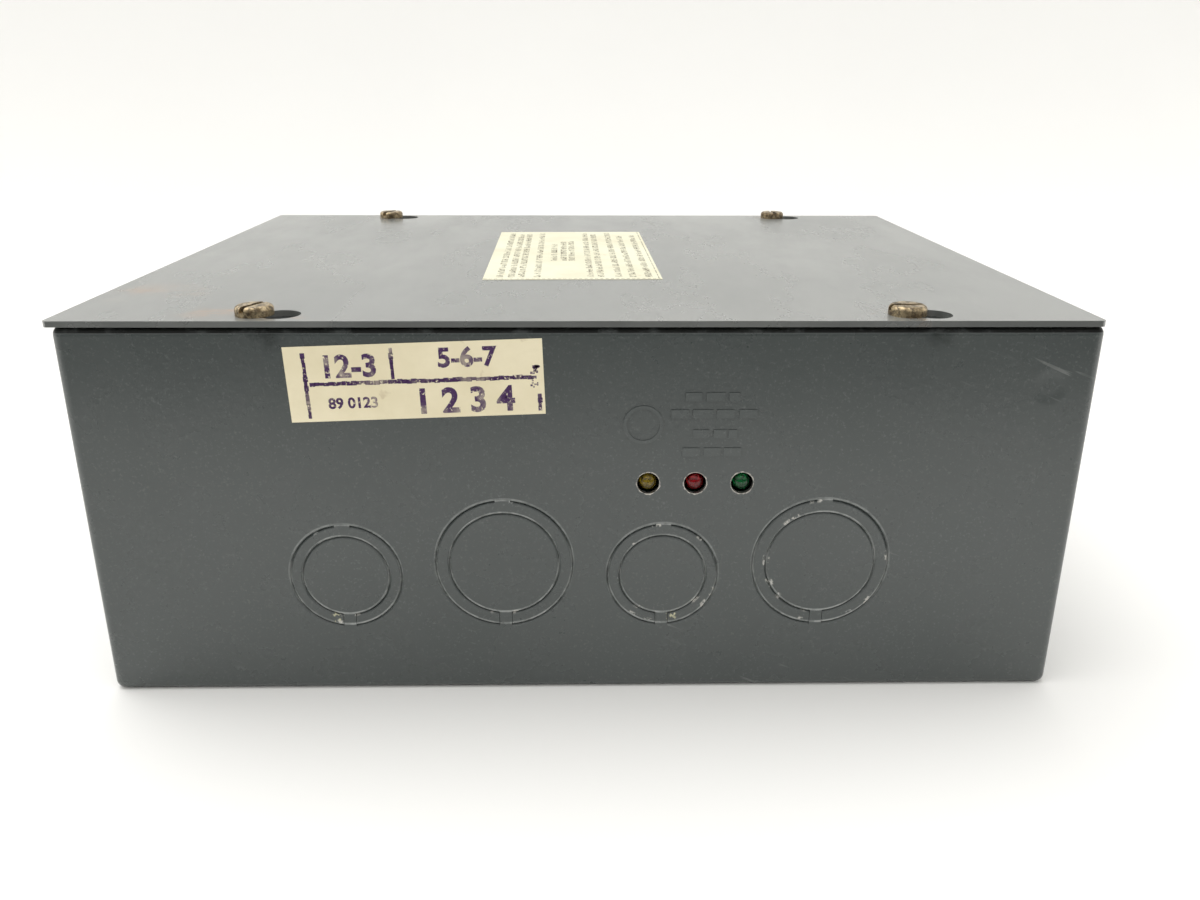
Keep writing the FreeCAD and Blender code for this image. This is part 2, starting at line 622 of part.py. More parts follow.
def board_parts():
    film_caps, resistors, leads = [], [], []
    for index in (-0.5, 0.5):
        at = ("film_cap_x", f"film_cap_y + ({index}) * film_cap_pitch", BOARD_TOP)
        case = padded("XY_Plane", rectangle("film_cap_length", "film_cap_width"), "film_cap_height", at)
        film_caps.append(rounded(case, "case_round", upright_edge))
    node("film_capacitors", group(*film_caps))
    rim = "can_width / 2 - can_rim"
    can = turned([("0", "0"), ("can_width / 2", "0"), ("can_width / 2", "can_height"), (rim, "can_height"),
                  (rim, "can_height - can_dip"), ("0", "can_height - can_dip")],
                 ("can_x", "can_y", BOARD_TOP))
    node("electrolytic_capacitor", can)
    relay = padded("XY_Plane", rectangle("relay_length", "relay_width"), "relay_height",
                   ("relay_x", "relay_y", BOARD_TOP))
    node("relay_case", rounded(relay, "relay_round", upright_edge))
    bridge = padded("XY_Plane", rectangle("bridge_side", "bridge_side"), "bridge_height",
                    ("bridge_x", "bridge_y", BOARD_TOP))
    vent = rod("bridge_hole", "bridge_height * 3", ("bridge_x", "bridge_y", BOARD_TOP))
    node("bridge_rectifier", cut(rounded(bridge, "bridge_round", upright_edge), vent))
    for index in range(int(size("resistor_count"))):
        y = f"resistor_y + {index} * resistor_pitch"
        at = ("resistor_x", y, f"{BOARD_TOP} + resistor_lift")
        body = padded("XY_Plane", rectangle("resistor_length", "resistor_width"), "resistor_width", at)
        resistors.append(rounded(body, "case_round", upright_edge))
        for side in (-1, 1):
            x = f"resistor_x + {side} * (resistor_length / 2 - resistor_inset)"
            leads.append(rod("disc_lead", "resistor_lift", (x, y, BOARD_TOP)))
    node("power_resistors", group(*resistors))
    return leads


def choke():
    """A ring core lying on the board with two half windings of round wire."""
    up = f"{BOARD_TOP} + ring_thick + coil_wire"
    core = bind(doc.addObject("Part::Torus", "core"), Radius1="ring_radius", Radius2="ring_thick")
    node("choke_core", place(core, ("ring_x", "ring_y", up)))
    turns = []
    count = int(size("coil_turns"))
    for half in (0, 180):
        for index in range(count):
            angle = half + (index / (count - 1) - 0.5) * size("coil_spread")
            across_x, across_y = math.cos(math.radians(angle)), math.sin(math.radians(angle))
            ring = bind(doc.addObject("Part::Torus", "loop"), Radius2="coil_wire / 2",
                        Radius1="ring_thick + coil_wire / 2 + coil_play")
            stand = FreeCAD.Rotation(Z, angle).multiply(FreeCAD.Rotation(X, 90))
            turns.append(place(ring, (f"ring_x + ({across_x:.6f}) * ring_radius",
                                      f"ring_y + ({across_y:.6f}) * ring_radius", up), stand))
    node("choke_winding", group(*turns))


def lamp_wiring():
    """A four-pin header on the board and the four leads that come down to it from the lights."""
    y = f"{BOARD_FRONT} + header_edge"
    at = ("header_x", y, BOARD_TOP)
    node("wire_header", block("header_width", "header_depth", "header_height", at))
    middle = size("board_y") - size("board_depth") / 2 + size("header_edge")
    floor = size("sheet") + size("post_height") + size("board_thick") + size("header_height")
    face = (-size("box_depth") / 2 + size("lamp_length") + size("lamp_lead") + size("board_thick"))
    high = size("lamp_z") - 4
    wires = []
    for index in (-1.5, -0.5, 0.5, 1.5):
        x = size("header_x") + index * size("header_pitch")
        bow = 1.5 * index
        wires.append(tube([(x, face, high), (x, face + 9, high), (x + bow, face + 21, high + 1),
                           (x + bow, middle - 8, high - 4), (x, middle, high - 16),
                           (x, middle, floor)], size("lead_wire")))
    node("led_wires", group(*wires))


def earth_bond():
    """A lug screwed to the floor of the box and the earth wire that loops over to the board."""
    foot_y, barrel_y = "lug_y - lug_foot / 2", "lug_y + lug_barrel / 2"
    body = padded("YZ_Plane", [("-lug_foot", "0"), ("lug_barrel", "0"), ("lug_barrel", "lug_height"),
                               ("0", "lug_height"), ("0", "lug_plate"), ("-lug_foot", "lug_plate")],
                  "lug_width", ("lug_x - lug_width / 2", "lug_y", "sheet"))
    bore = rod("lug_bore", "lug_barrel", ("lug_x", "lug_y", "sheet + lug_height / 2"), TO_BACK)
    foot_hole = rod("lug_screw", "3 * lug_plate", ("lug_x", foot_y, "sheet - lug_plate"))
    clamp_hole = rod("clamp_width", "lug_height", ("lug_x", barrel_y, "sheet + lug_height / 2"))
    node("ground_lug", cut(body, bore, foot_hole, clamp_hole))
    radius = "lug_screw / 2 - running_gap"
    foot_screw = turned([("0", "-lug_plate - sheet"), (radius, "-lug_plate - sheet"), (radius, "0"),
                         ("lug_head / 2", "0"), ("lug_head / 2", "lug_head_height"),
                         ("0", "lug_head_height")], ("lug_x", foot_y, "sheet + lug_plate"))
    clamp_from = "sheet + lug_height / 2 + earth_wire / 2"
    clamp = rod("clamp_width - 2 * running_gap", f"sheet + lug_height + clamp_proud - ({clamp_from})",
                ("lug_x", barrel_y, clamp_from))
    node("ground_screws", group(rounded(foot_screw, "lug_head_height / 3", top_rim), clamp))
    x, y = size("lug_x"), size("lug_y")
    up = size("sheet") + size("lug_height") / 2
    pad_x, top = size("earth_pad_x"), size("sheet") + size("post_height") + size("board_thick")
    node("ground_wire", tube([(x, y + 1, up), (x, y + 28, up), (x + 6, y + 46, up + 10),
                              (x + 19, y + 50, up + 25), (pad_x - 1, y + 38, up + 33),
                              (pad_x, y + 25, up + 25), (pad_x, y + 25, top)], size("earth_wire")))


def build():
    holes = knockouts()
    enclosure_tray(holes)
    cover_plate()
    for (name, side_x, side_y), turn in zip(CORNERS, (66, 4, 62, 96)):
        cover_screw(name, side_x, side_y, turn)
    labels()
    for index, colour in enumerate(("amber", "red", "green"), -1):
        indicator(colour, index)
    lamp_leads()
    lamp_board()
    main_board()
    terminal_block()
    leads = varistors()
    fuses()
    leads += board_parts()
    node("component_leads", group(*leads))
    choke()
    lamp_wiring()
    earth_bond()


def check_and_write():
    doc.recompute()
    for item in doc.Objects:
        if "Invalid" in item.State or "Error" in item.State:
            raise RuntimeError(f"{item.Name} failed: {item.State}")
    os.makedirs("parts", exist_ok=True)
    for label, item in nodes.items():
        shape = item.Shape
        if shape.isNull() or not shape.isValid() or not shape.Solids:
            raise RuntimeError(f"{label} has no valid solid")
        shape.exportStep(f"parts/{label}.step")
        print(f"{label:26s} {len(shape.Solids):3d} solids {shape.Volume:12.2f} mm3")
    print(len(nodes), "nodes")


build()
check_and_write()
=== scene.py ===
# Hard-wired surge protector in a grey screw-cover steel box, lying on a pale sweep
import bpy
import bmesh
import math
import random
from mathutils import Euler, Matrix, Vector


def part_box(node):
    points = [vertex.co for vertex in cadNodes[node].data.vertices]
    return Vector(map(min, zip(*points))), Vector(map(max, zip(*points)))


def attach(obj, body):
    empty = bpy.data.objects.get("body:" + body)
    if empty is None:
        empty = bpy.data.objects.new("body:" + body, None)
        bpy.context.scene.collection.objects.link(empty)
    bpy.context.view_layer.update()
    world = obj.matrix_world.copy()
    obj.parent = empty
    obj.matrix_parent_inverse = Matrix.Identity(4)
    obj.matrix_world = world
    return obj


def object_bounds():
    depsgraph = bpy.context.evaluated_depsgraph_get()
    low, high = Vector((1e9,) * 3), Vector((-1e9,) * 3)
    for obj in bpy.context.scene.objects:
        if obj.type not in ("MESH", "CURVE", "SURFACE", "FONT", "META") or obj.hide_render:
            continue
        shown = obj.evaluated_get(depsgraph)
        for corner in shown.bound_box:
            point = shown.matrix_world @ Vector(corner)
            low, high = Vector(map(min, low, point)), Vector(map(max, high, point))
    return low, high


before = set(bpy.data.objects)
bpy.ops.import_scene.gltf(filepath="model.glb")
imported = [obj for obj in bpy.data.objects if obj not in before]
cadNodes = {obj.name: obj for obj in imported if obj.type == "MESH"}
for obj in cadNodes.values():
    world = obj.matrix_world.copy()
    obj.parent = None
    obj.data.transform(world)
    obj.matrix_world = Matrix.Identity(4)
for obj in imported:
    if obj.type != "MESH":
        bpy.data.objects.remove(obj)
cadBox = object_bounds()
mm = 0.001
print("frame loaded with", len(cadNodes), "nodes")


def middleOf(node):
    low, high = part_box(node)
    return (Vector(low) + Vector(high)) / 2


def lowOf(node):
    return Vector(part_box(node)[0])


def highOf(node):
    return Vector(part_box(node)[1])


# material helpers: each returns a socket that the next one can take

def startMaterial(name, colour, roughness=0.5, metallic=0.0):
    material = bpy.data.materials.new(name)
    material.use_nodes = True
    shader = material.node_tree.nodes["Principled BSDF"]
    shader.inputs["Base Color"].default_value = (*colour, 1)
    shader.inputs["Roughness"].default_value = roughness
    shader.inputs["Metallic"].default_value = metallic
    return material, material.node_tree, shader


def feed(tree, source, socket):
    if isinstance(source, bpy.types.NodeSocket):
        tree.links.new(source, socket)
    elif isinstance(source, (tuple, list, Vector)) and len(source) == 3 and socket.type == "RGBA":
        socket.default_value = (*source, 1)
    else:
        socket.default_value = source


def placed(tree, centre=(0, 0, 0), turn=(0, 0, 0), stretch=(1, 1, 1)):
    coords = tree.nodes.new("ShaderNodeTexCoord")
    mapping = tree.nodes.new("ShaderNodeMapping")
    mapping.vector_type = "TEXTURE"
    mapping.inputs["Location"].default_value = centre
    mapping.inputs["Rotation"].default_value = turn
    mapping.inputs["Scale"].default_value = stretch
    tree.links.new(coords.outputs["Object"], mapping.inputs["Vector"])
    return mapping.outputs["Vector"]


def calc(tree, operation, first, second=0.0, clamp=False):
    node = tree.nodes.new("ShaderNodeMath")
    node.operation = operation
    node.use_clamp = clamp
    feed(tree, first, node.inputs[0])
    feed(tree, second, node.inputs[1])
    return node.outputs[0]


def grain(tree, vector, scale, detail=4.0, rough=0.55):
    node = tree.nodes.new("ShaderNodeTexNoise")
    node.inputs["Scale"].default_value = scale
    node.inputs["Detail"].default_value = detail
    node.inputs["Roughness"].default_value = rough
    feed(tree, vector, node.inputs["Vector"])
    return node.outputs["Fac"]


def between(tree, value, low, high, bottom=0.0, top=1.0):
    node = tree.nodes.new("ShaderNodeMapRange")
    node.interpolation_type = "SMOOTHSTEP"
    feed(tree, value, node.inputs["Value"])
    node.inputs["From Min"].default_value = low
    node.inputs["From Max"].default_value = high
    node.inputs["To Min"].default_value = bottom
    node.inputs["To Max"].default_value = top
    return node.outputs["Result"]


def blended(tree, factor, first, second):
    node = tree.nodes.new("ShaderNodeMix")
    node.data_type = "RGBA"
    feed(tree, factor, node.inputs["Factor"])
    feed(tree, first, node.inputs[6])
    feed(tree, second, node.inputs[7])
    return node.outputs[2]


def reach(tree, centre, stretch=(1, 1, 1)):
    node = tree.nodes.new("ShaderNodeVectorMath")
    node.operation = "LENGTH"
    feed(tree, placed(tree, centre, stretch=stretch), node.inputs[0])
    return node.outputs["Value"]


def axisOf(tree, axis, vector=None):
    node = tree.nodes.new("ShaderNodeSeparateXYZ")
    feed(tree, vector or placed(tree), node.inputs[0])
    return node.outputs[axis]


def roughen(tree, shader, height, depth, strength=1.0, before=None):
    node = tree.nodes.new("ShaderNodeBump")
    node.inputs["Distance"].default_value = depth
    node.inputs["Strength"].default_value = strength
    feed(tree, height, node.inputs["Height"])
    if before:
        feed(tree, before, node.inputs["Normal"])
    feed(tree, node.outputs["Normal"], shader.inputs["Normal"])
    return node.outputs["Normal"]


def largest(tree, sockets):
    value = sockets[0]
    for socket in sockets[1:]:
        value = calc(tree, "MAXIMUM", value, socket)
    return value


# enamel on the sheet steel

# the light worn-paint colour also serves as a painted highlight along cut edges and the cover's front edge
enamel = {
    "dark": (0.053, 0.063, 0.061), "light": (0.063, 0.073, 0.071), "wearAndHighlight": (0.33, 0.345, 0.335),
    "chip": (0.50, 0.49, 0.45), "cream": (0.52, 0.50, 0.33), "bare": (0.40, 0.38, 0.35),
    "roughness": 0.27, "reflect": 1.62, "peel": 620.0, "peelDepth": 0.00003,
    "edgeWidth": 0.42 * mm,
}


def paintBase(tree, shader, dark, light, patch=14.0):
    everywhere = placed(tree)
    clouds = grain(tree, everywhere, patch, 5.0)
    speck = grain(tree, everywhere, 1500.0, 2.0)
    colour = blended(tree, between(tree, clouds, 0.3, 0.7), dark, light)
    dusty = calc(tree, "MULTIPLY", between(tree, speck, 0.55, 0.8), 0.16)
    colour = blended(tree, dusty, colour, enamel["wearAndHighlight"])
    peel = grain(tree, everywhere, enamel["peel"], 2.0)
    roughen(tree, shader, peel, enamel["peelDepth"])
    smudge = grain(tree, everywhere, 38.0, 6.0, 0.6)
    spread = between(tree, smudge, 0.3, 0.75, enamel["roughness"] - 0.015, enamel["roughness"] + 0.035)
    feed(tree, spread, shader.inputs["Roughness"])
    shader.inputs["IOR"].default_value = enamel["reflect"]
    return colour


def edgeWearAndHighlight(tree, centre, radius, width, amount=0.7):
    # a light line that follows the sheared edge of a round cut: partly worn paint, partly a painted highlight
    # where the edge would catch light
    off = calc(tree, "ABSOLUTE", calc(tree, "SUBTRACT", reach(tree, centre), radius))
    line = between(tree, off, width, width * 0.3)
    broken = between(tree, grain(tree, placed(tree), 300.0, 4.0, 0.65), 0.36, 0.62, 0.35, 1.0)
    return calc(tree, "MULTIPLY", calc(tree, "MULTIPLY", line, broken), amount)


def chipsNear(tree, centre, size, seed=0.0):
    # a mottled cluster of small flakes of missing paint
    speckle = grain(tree, placed(tree, (seed, seed * 2, seed)), 760.0, 4.0, 0.65)
    near = between(tree, reach(tree, centre), size, size * 0.35)
    return between(tree, calc(tree, "MULTIPLY", near, speckle), 0.48, 0.56)


knockout = {"wideDisc": 14.2 * mm, "narrowDisc": 11.2 * mm, "wideFrom": 16 * mm}


def frontCentre(number):
    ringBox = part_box(f"knockout_ring_front_{number}")
    low, high = Vector(ringBox[0]), Vector(ringBox[1])
    radius = (high.x - low.x) / 2
    return Vector(((low.x + high.x) / 2, low.y, high.z - radius)), radius


def wallCentres(wall):
    # the centres and sizes on a wall whose rings share a node, from the front wall's row
    low, high = lowOf("knockout_rings_" + wall), highOf("knockout_rings_" + wall)
    fronts = [frontCentre(number) for number in (1, 2, 3, 4)]
    pitch = fronts[1][0].x - fronts[0][0].x
    spots = []
    if wall == "back":
        for centre, radius in fronts:
            spots.append((Vector((-centre.x, high.y, centre.z)), radius))
        return spots
    side = low.x if wall == "left" else high.x
    for step in (-1, 0, 1):
        centre, radius = fronts[0] if step == 0 else fronts[1]
        spots.append((Vector((side, step * pitch, centre.z)), radius))
    return spots


def ringPaint(name, spots, chips=()):
    material, tree, shader = startMaterial(name, enamel["dark"])
    colour = paintBase(tree, shader, enamel["dark"], enamel["light"])
    lines, hugging = [], []
    for centre, radius in spots:
        inner = knockout["wideDisc"] if radius > knockout["wideFrom"] else knockout["narrowDisc"]
        for edge in (radius, inner):
            # painted highlight, partly worn paint, along both cut edges
            lines.append(edgeWearAndHighlight(tree, centre, edge, enamel["edgeWidth"], 0.95))
            if chips:
                off = calc(tree, "ABSOLUTE", calc(tree, "SUBTRACT", reach(tree, centre), edge))
                hugging.append(between(tree, off, 1.1 * mm, 0.5 * mm))
    colour = blended(tree, largest(tree, lines), colour, enamel["wearAndHighlight"])
    for index, (spot, size, tone) in enumerate(chips):
        flake = chipsNear(tree, spot, size * mm, 0.37 * index)
        if tone != "cream":
            flake = calc(tree, "MULTIPLY", flake, largest(tree, hugging))
        colour = blended(tree, flake, colour, enamel[tone])
    feed(tree, colour, shader.inputs["Base Color"])
    return material


def around(number, angle, radius):
    # a spot on a front knockout, by its clock angle in degrees and its radius in millimetres
    centre = frontCentre(number)[0]
    turn = math.radians(angle)
    return centre + Vector((math.sin(turn), 0, math.cos(turn))) * radius * mm


frontChips = {
    1: [(around(1, 196, 12.9), 3.4, "cream"), (around(1, 188, 13.1), 3.0, "chip"),
        (around(1, 170, 12.2), 1.8, "chip"), (around(1, 330, 14.2), 1.8, "wearAndHighlight")],
    2: [(around(2, 194, 16.0), 2.4, "chip"), (around(2, 226, 15.6), 1.7, "wearAndHighlight"),
        (around(2, 8, 17.2), 2.2, "wearAndHighlight"), (around(2, 170, 14.6), 1.8, "chip")],
    3: [(around(3, 212, 12.6), 3.6, "chip"), (around(3, 196, 13.0), 2.8, "chip"),
        (around(3, 168, 12.8), 3.2, "cream"), (around(3, 130, 12.8), 3.8, "chip"),
        (around(3, 112, 13.6), 3.0, "chip"), (around(3, 45, 13.4), 2.8, "chip"),
        (around(3, 352, 13.8), 2.6, "chip"), (around(3, 320, 12.4), 2.2, "chip"),
        (around(3, 262, 12.0), 2.0, "wearAndHighlight")],
    4: [(around(4, 318, 14.9), 3.0, "chip"), (around(4, 330, 15.4), 2.6, "chip"),
        (around(4, 352, 16.8), 3.4, "chip"), (around(4, 272, 14.6), 3.0, "chip"),
        (around(4, 244, 14.6), 3.0, "chip"), (around(4, 225, 14.6), 2.6, "chip"),
        (around(4, 192, 16.0), 3.0, "chip"), (around(4, 130, 17.6), 2.8, "chip"),
        (around(4, 84, 17.5), 3.0, "chip"), (around(4, 150, 17.3), 2.4, "wearAndHighlight")],
}

# the near-black tray colour and the band and slot sizes below are for painted shade along the cover's gap and
# under the keyhole slots
tray = {"scratch": (0.24, 0.25, 0.24), "proud": (0.115, 0.13, 0.127), "dirtAndShade": (0.008, 0.009, 0.008),
        "shadeLow": 1.62 * mm, "shadeHigh": 1.34 * mm, "slotShade": 9.0 * mm, "slotAway": 4.5 * mm,
        "dentSize": 5.0 * mm, "dentIn": 12 * mm, "dentDown": 15 * mm, "lampRim": 3.25 * mm}


def trayPaint():
    material, tree, shader = startMaterial("greyEnamel", enamel["dark"])
    colour = paintBase(tree, shader, enamel["dark"], enamel["light"], 9.0)
    spots = [frontCentre(number) for number in (1, 2, 3, 4)]
    for wall in ("back", "left", "right"):
        spots += wallCentres(wall)
    # painted highlight, partly worn paint, just outside each knockout hole
    lines = [edgeWearAndHighlight(tree, centre, radius + 0.25 * mm, enamel["edgeWidth"], 0.55)
             for centre, radius in spots]
    colour = blended(tree, largest(tree, lines), colour, enamel["wearAndHighlight"])
    # fine rubbed scratches, long in X
    streak = grain(tree, placed(tree, turn=(0, 0.4, 0.1), stretch=(14, 1, 0.6)), 420.0, 2.0)
    patchy = between(tree, grain(tree, placed(tree), 26.0, 3.0), 0.56, 0.7)
    rubbed = calc(tree, "MULTIPLY", between(tree, streak, 0.66, 0.72), patchy)
    colour = blended(tree, calc(tree, "MULTIPLY", rubbed, 0.5), colour, tray["scratch"])
    # raised marks on the front are tinted lighter: partly rubbed paint, partly a painted highlight that shows
    # their relief
    sheetFront = -highOf("enclosure_tray").y
    proud = between(tree, axisOf(tree, 1), sheetFront - 0.08 * mm, sheetFront - 0.15 * mm)
    colour = blended(tree, calc(tree, "MULTIPLY", proud, 0.14), colour, tray["proud"])
    # painted shade: a dark band on the outside of the top bend, under the cover's edge, standing in for the
    # shadow in the gap
    boxTop = lowOf("cover_plate").z
    outX = calc(tree, "SUBTRACT", calc(tree, "ABSOLUTE", axisOf(tree, 0)), -lowOf("enclosure_tray").x)
    outY = calc(tree, "SUBTRACT", calc(tree, "ABSOLUTE", axisOf(tree, 1)), highOf("enclosure_tray").y)
    outside = between(tree, calc(tree, "MAXIMUM", outX, outY), -2.3 * mm, -1.9 * mm)
    high = between(tree, axisOf(tree, 2), boxTop - tray["shadeLow"], boxTop - tray["shadeHigh"])
    dirtAndShade = calc(tree, "MULTIPLY", outside, high)
    # more painted shade on the flange, seen through the slots, so the slots look dark
    patches = []
    uneven = calc(tree, "MULTIPLY", grain(tree, placed(tree), 160.0, 5.0, 0.65), 8 * mm)
    for corner in ("front_left", "front_right", "back_left", "back_right"):
        screw = middleOf("cover_screw_" + corner)
        spot = (screw.x + tray["slotAway"], screw.y, boxTop)
        away = calc(tree, "ADD", reach(tree, spot), uneven)
        patches.append(between(tree, away, tray["slotShade"] + 5 * mm, tray["slotShade"] - 1 * mm))
    broken = between(tree, grain(tree, placed(tree), 110.0, 5.0, 0.65), 0.3, 0.5, 0.55, 1.0)
    dirtAndShade = calc(tree, "MULTIPLY", dirtAndShade, broken)
    dirtAndShade = calc(tree, "MAXIMUM", dirtAndShade, calc(tree, "MULTIPLY", largest(tree, patches), 0.85))
    colour = blended(tree, dirtAndShade, colour, tray["dirtAndShade"])
    # the painted shade also dims the reflection on these bands
    shine = calc(tree, "SUBTRACT", 0.5, calc(tree, "MULTIPLY", dirtAndShade, 0.42))
    feed(tree, shine, shader.inputs["Specular IOR Level"])
    # bare metal round the three lamp holes
    rims = []
    for colourName in ("amber", "red", "green"):
        low, high = lowOf("led_" + colourName), highOf("led_" + colourName)
        face = Vector(((low.x + high.x) / 2, low.y, (low.z + high.z) / 2))
        ragged = calc(tree, "MULTIPLY", grain(tree, placed(tree), 800.0, 4.0, 0.7), 1.3 * mm)
        rims.append(between(tree, calc(tree, "ADD", reach(tree, face), ragged),
                            tray["lampRim"] + 0.50 * mm, tray["lampRim"] + 0.34 * mm))
    rim = largest(tree, rims)
    colour = blended(tree, rim, colour, enamel["bare"])
    feed(tree, calc(tree, "MULTIPLY", rim, 0.8), shader.inputs["Metallic"])
    feed(tree, colour, shader.inputs["Base Color"])
    # one shallow round dent near the right-hand edge of the front
    dentSpot = Vector((cadBox[1][0] - tray["dentIn"], lowOf("enclosure_tray").y,
                       highOf("enclosure_tray").z - tray["dentDown"]))
    dent = between(tree, reach(tree, dentSpot), tray["dentSize"] * 0.35, tray["dentSize"])
    firstBump = shader.inputs["Normal"].links[0].from_socket
    roughen(tree, shader, dent, 0.10 * mm, 1.0, firstBump)
    return material


cover = {
    "dark": (0.148, 0.157, 0.151), "light": (0.180, 0.188, 0.180), "gloss": 0.25, "reflect": 2.5,
    "rust": (0.27, 0.16, 0.085), "dust": (0.32, 0.30, 0.26), "edge": (0.05, 0.056, 0.052),
}


def coverPaint():
    material, tree, shader = startMaterial("coverEnamel", cover["dark"], cover["gloss"])
    shader.inputs["IOR"].default_value = cover["reflect"]
    everywhere = placed(tree)
    clouds = between(tree, grain(tree, everywhere, 11.0, 5.0), 0.32, 0.68)
    colour = blended(tree, clouds, cover["dark"], cover["light"])
    lowCorner, highCorner = lowOf("cover_plate"), highOf("cover_plate")
    screw = middleOf("cover_screw_front_left")
    stains = []
    for spot, size in ((Vector((screw.x - 9 * mm, screw.y + 5 * mm, highCorner.z)), 15 * mm),
                       (Vector((lowCorner.x + 14 * mm, lowCorner.y + 34 * mm, highCorner.z)), 17 * mm),
                       (Vector((screw.x + 7 * mm, screw.y - 3 * mm, highCorner.z)), 8 * mm)):
        blotch = grain(tree, placed(tree, stretch=(2.2, 1, 1)), 130.0, 5.0, 0.65)
        near = between(tree, reach(tree, spot), size, size * 0.2)
        stains.append(calc(tree, "MULTIPLY", near, between(tree, blotch, 0.45, 0.68)))
    for name in ("cover_screw_front_right", "cover_screw_back_left", "cover_screw_back_right"):
        blotch = grain(tree, everywhere, 240.0, 4.0, 0.65)
        near = between(tree, reach(tree, middleOf(name)), 11 * mm, 5 * mm)
        stains.append(calc(tree, "MULTIPLY", near, between(tree, blotch, 0.5, 0.72)))
    rust = calc(tree, "MULTIPLY", largest(tree, stains), 0.85)
    colour = blended(tree, rust, colour, cover["rust"])
    # thin film of dust; along the top front edge a light line, partly rubbed-off paint and partly a painted
    # highlight; the front side face gets painted shade
    film = calc(tree, "MULTIPLY", between(tree, grain(tree, everywhere, 60.0, 6.0, 0.7), 0.5, 0.85), 0.12)
    colour = blended(tree, film, colour, cover["dust"])
    front = between(tree, axisOf(tree, 1), lowCorner.y + 0.5 * mm, lowCorner.y + 0.1 * mm)
    top = between(tree, axisOf(tree, 2), highCorner.z - 0.35 * mm, highCorner.z - 0.05 * mm)
    broken = between(tree, grain(tree, everywhere, 90.0, 5.0, 0.7), 0.35, 0.6)
    edge = calc(tree, "MULTIPLY", calc(tree, "MULTIPLY", front, top), broken)
    # painted shade: the cover's thin front side face is darkened
    side = between(tree, axisOf(tree, 1), lowCorner.y + 0.06 * mm, lowCorner.y + 0.02 * mm)
    colour = blended(tree, calc(tree, "MULTIPLY", side, 0.6), colour, cover["edge"])
    # painted highlight, partly rubbed paint, along the top front edge
    colour = blended(tree, calc(tree, "MULTIPLY", edge, 0.25), colour, enamel["wearAndHighlight"])
    feed(tree, colour, shader.inputs["Base Color"])
    haze = grain(tree, placed(tree, stretch=(1, 3, 1)), 22.0, 6.0, 0.62)
    feed(tree, between(tree, haze, 0.3, 0.75, cover["gloss"] - 0.05, cover["gloss"] + 0.09),
         shader.inputs["Roughness"])
    roughen(tree, shader, grain(tree, everywhere, enamel["peel"], 2.0), 0.000004)
    return material


# metals

def zincMetal(name, bright, dull, roughness, patch=260.0, grime=None, threads=None):
    material, tree, shader = startMaterial(name, bright, roughness, 1.0)
    everywhere = placed(tree)
    tone = between(tree, grain(tree, everywhere, patch, 5.0, 0.65), 0.35, 0.65)
    colour = blended(tree, tone, dull, bright)
    if grime:
        dirtAndShade = between(tree, grain(tree, everywhere, patch * 2.2, 5.0, 0.7), 0.47, 0.6)
        colour = blended(tree, calc(tree, "MULTIPLY", dirtAndShade, 0.75), colour, grime)
        feed(tree, calc(tree, "SUBTRACT", 1.0, calc(tree, "MULTIPLY", dirtAndShade, 0.5)), shader.inputs["Metallic"])
    feed(tree, colour, shader.inputs["Base Color"])
    feed(tree, between(tree, tone, 0.0, 1.0, roughness + 0.18, roughness), shader.inputs["Roughness"])
    height = grain(tree, everywhere, patch * 4, 3.0)
    normal = roughen(tree, shader, height, 0.00002)
    if threads:
        wave = tree.nodes.new("ShaderNodeTexWave")
        wave.bands_direction = "Z"
        wave.wave_profile = "TRI"
        wave.inputs["Scale"].default_value = threads["scale"]
        feed(tree, everywhere, wave.inputs["Vector"])
        below = between(tree, axisOf(tree, 2), threads["top"], threads["top"] - 0.3 * mm)
        cut = calc(tree, "MULTIPLY", wave.outputs["Fac"], below)
        roughen(tree, shader, cut, threads["depth"], 1.0, normal)
    return material


coverScrew = {"bright": (0.60, 0.48, 0.30), "dull": (0.15, 0.11, 0.065), "grime": (0.030, 0.020, 0.012),
              "threadScale": 63.0, "threadDepth": 0.5 * mm}

# paper, plastic, glass

paper = {"ivory": (0.76, 0.74, 0.58), "ivoryShade": (0.68, 0.65, 0.49), "cream": (0.97, 0.88, 0.64),
         "creamShade": (0.88, 0.79, 0.55), "stain": (0.52, 0.40, 0.24)}


def labelPaper(name, light, shade):
    material, tree, shader = startMaterial(name, light, 0.75)
    everywhere = placed(tree)
    fibre = grain(tree, placed(tree, stretch=(3, 1, 1)), 900.0, 5.0, 0.7)
    clouds = grain(tree, everywhere, 45.0, 5.0, 0.6)
    colour = blended(tree, between(tree, clouds, 0.35, 0.7), light, shade)
    colour = blended(tree, calc(tree, "MULTIPLY", between(tree, fibre, 0.5, 0.75), 0.25), colour, shade)
    spots = between(tree, grain(tree, everywhere, 210.0, 3.0, 0.5), 0.68, 0.76)
    colour = blended(tree, calc(tree, "MULTIPLY", spots, 0.35), colour, paper["stain"])
    feed(tree, colour, shader.inputs["Base Color"])
    roughen(tree, shader, calc(tree, "ADD", fibre, calc(tree, "MULTIPLY", clouds, 3.0)), 0.00003)
    shader.inputs["Specular IOR Level"].default_value = 0.3
    return material


def inkFilm(name, ink, ground, taken, scale):
    # ink that has taken unevenly, with the paper showing through in specks
    material, tree, shader = startMaterial(name, ink, 0.7)
    everywhere = placed(tree)
    bare = between(tree, grain(tree, everywhere, scale, 4.0, 0.7), taken, taken + 0.1)
    weak = between(tree, grain(tree, everywhere, scale * 0.12, 3.0, 0.6), 0.45, 0.75)
    gone = calc(tree, "MULTIPLY", calc(tree, "ADD", bare, calc(tree, "MULTIPLY", weak, 0.5)), 0.8, True)
    feed(tree, blended(tree, gone, ink, ground), shader.inputs["Base Color"])
    shader.inputs["Specular IOR Level"].default_value = 0.2
    return material


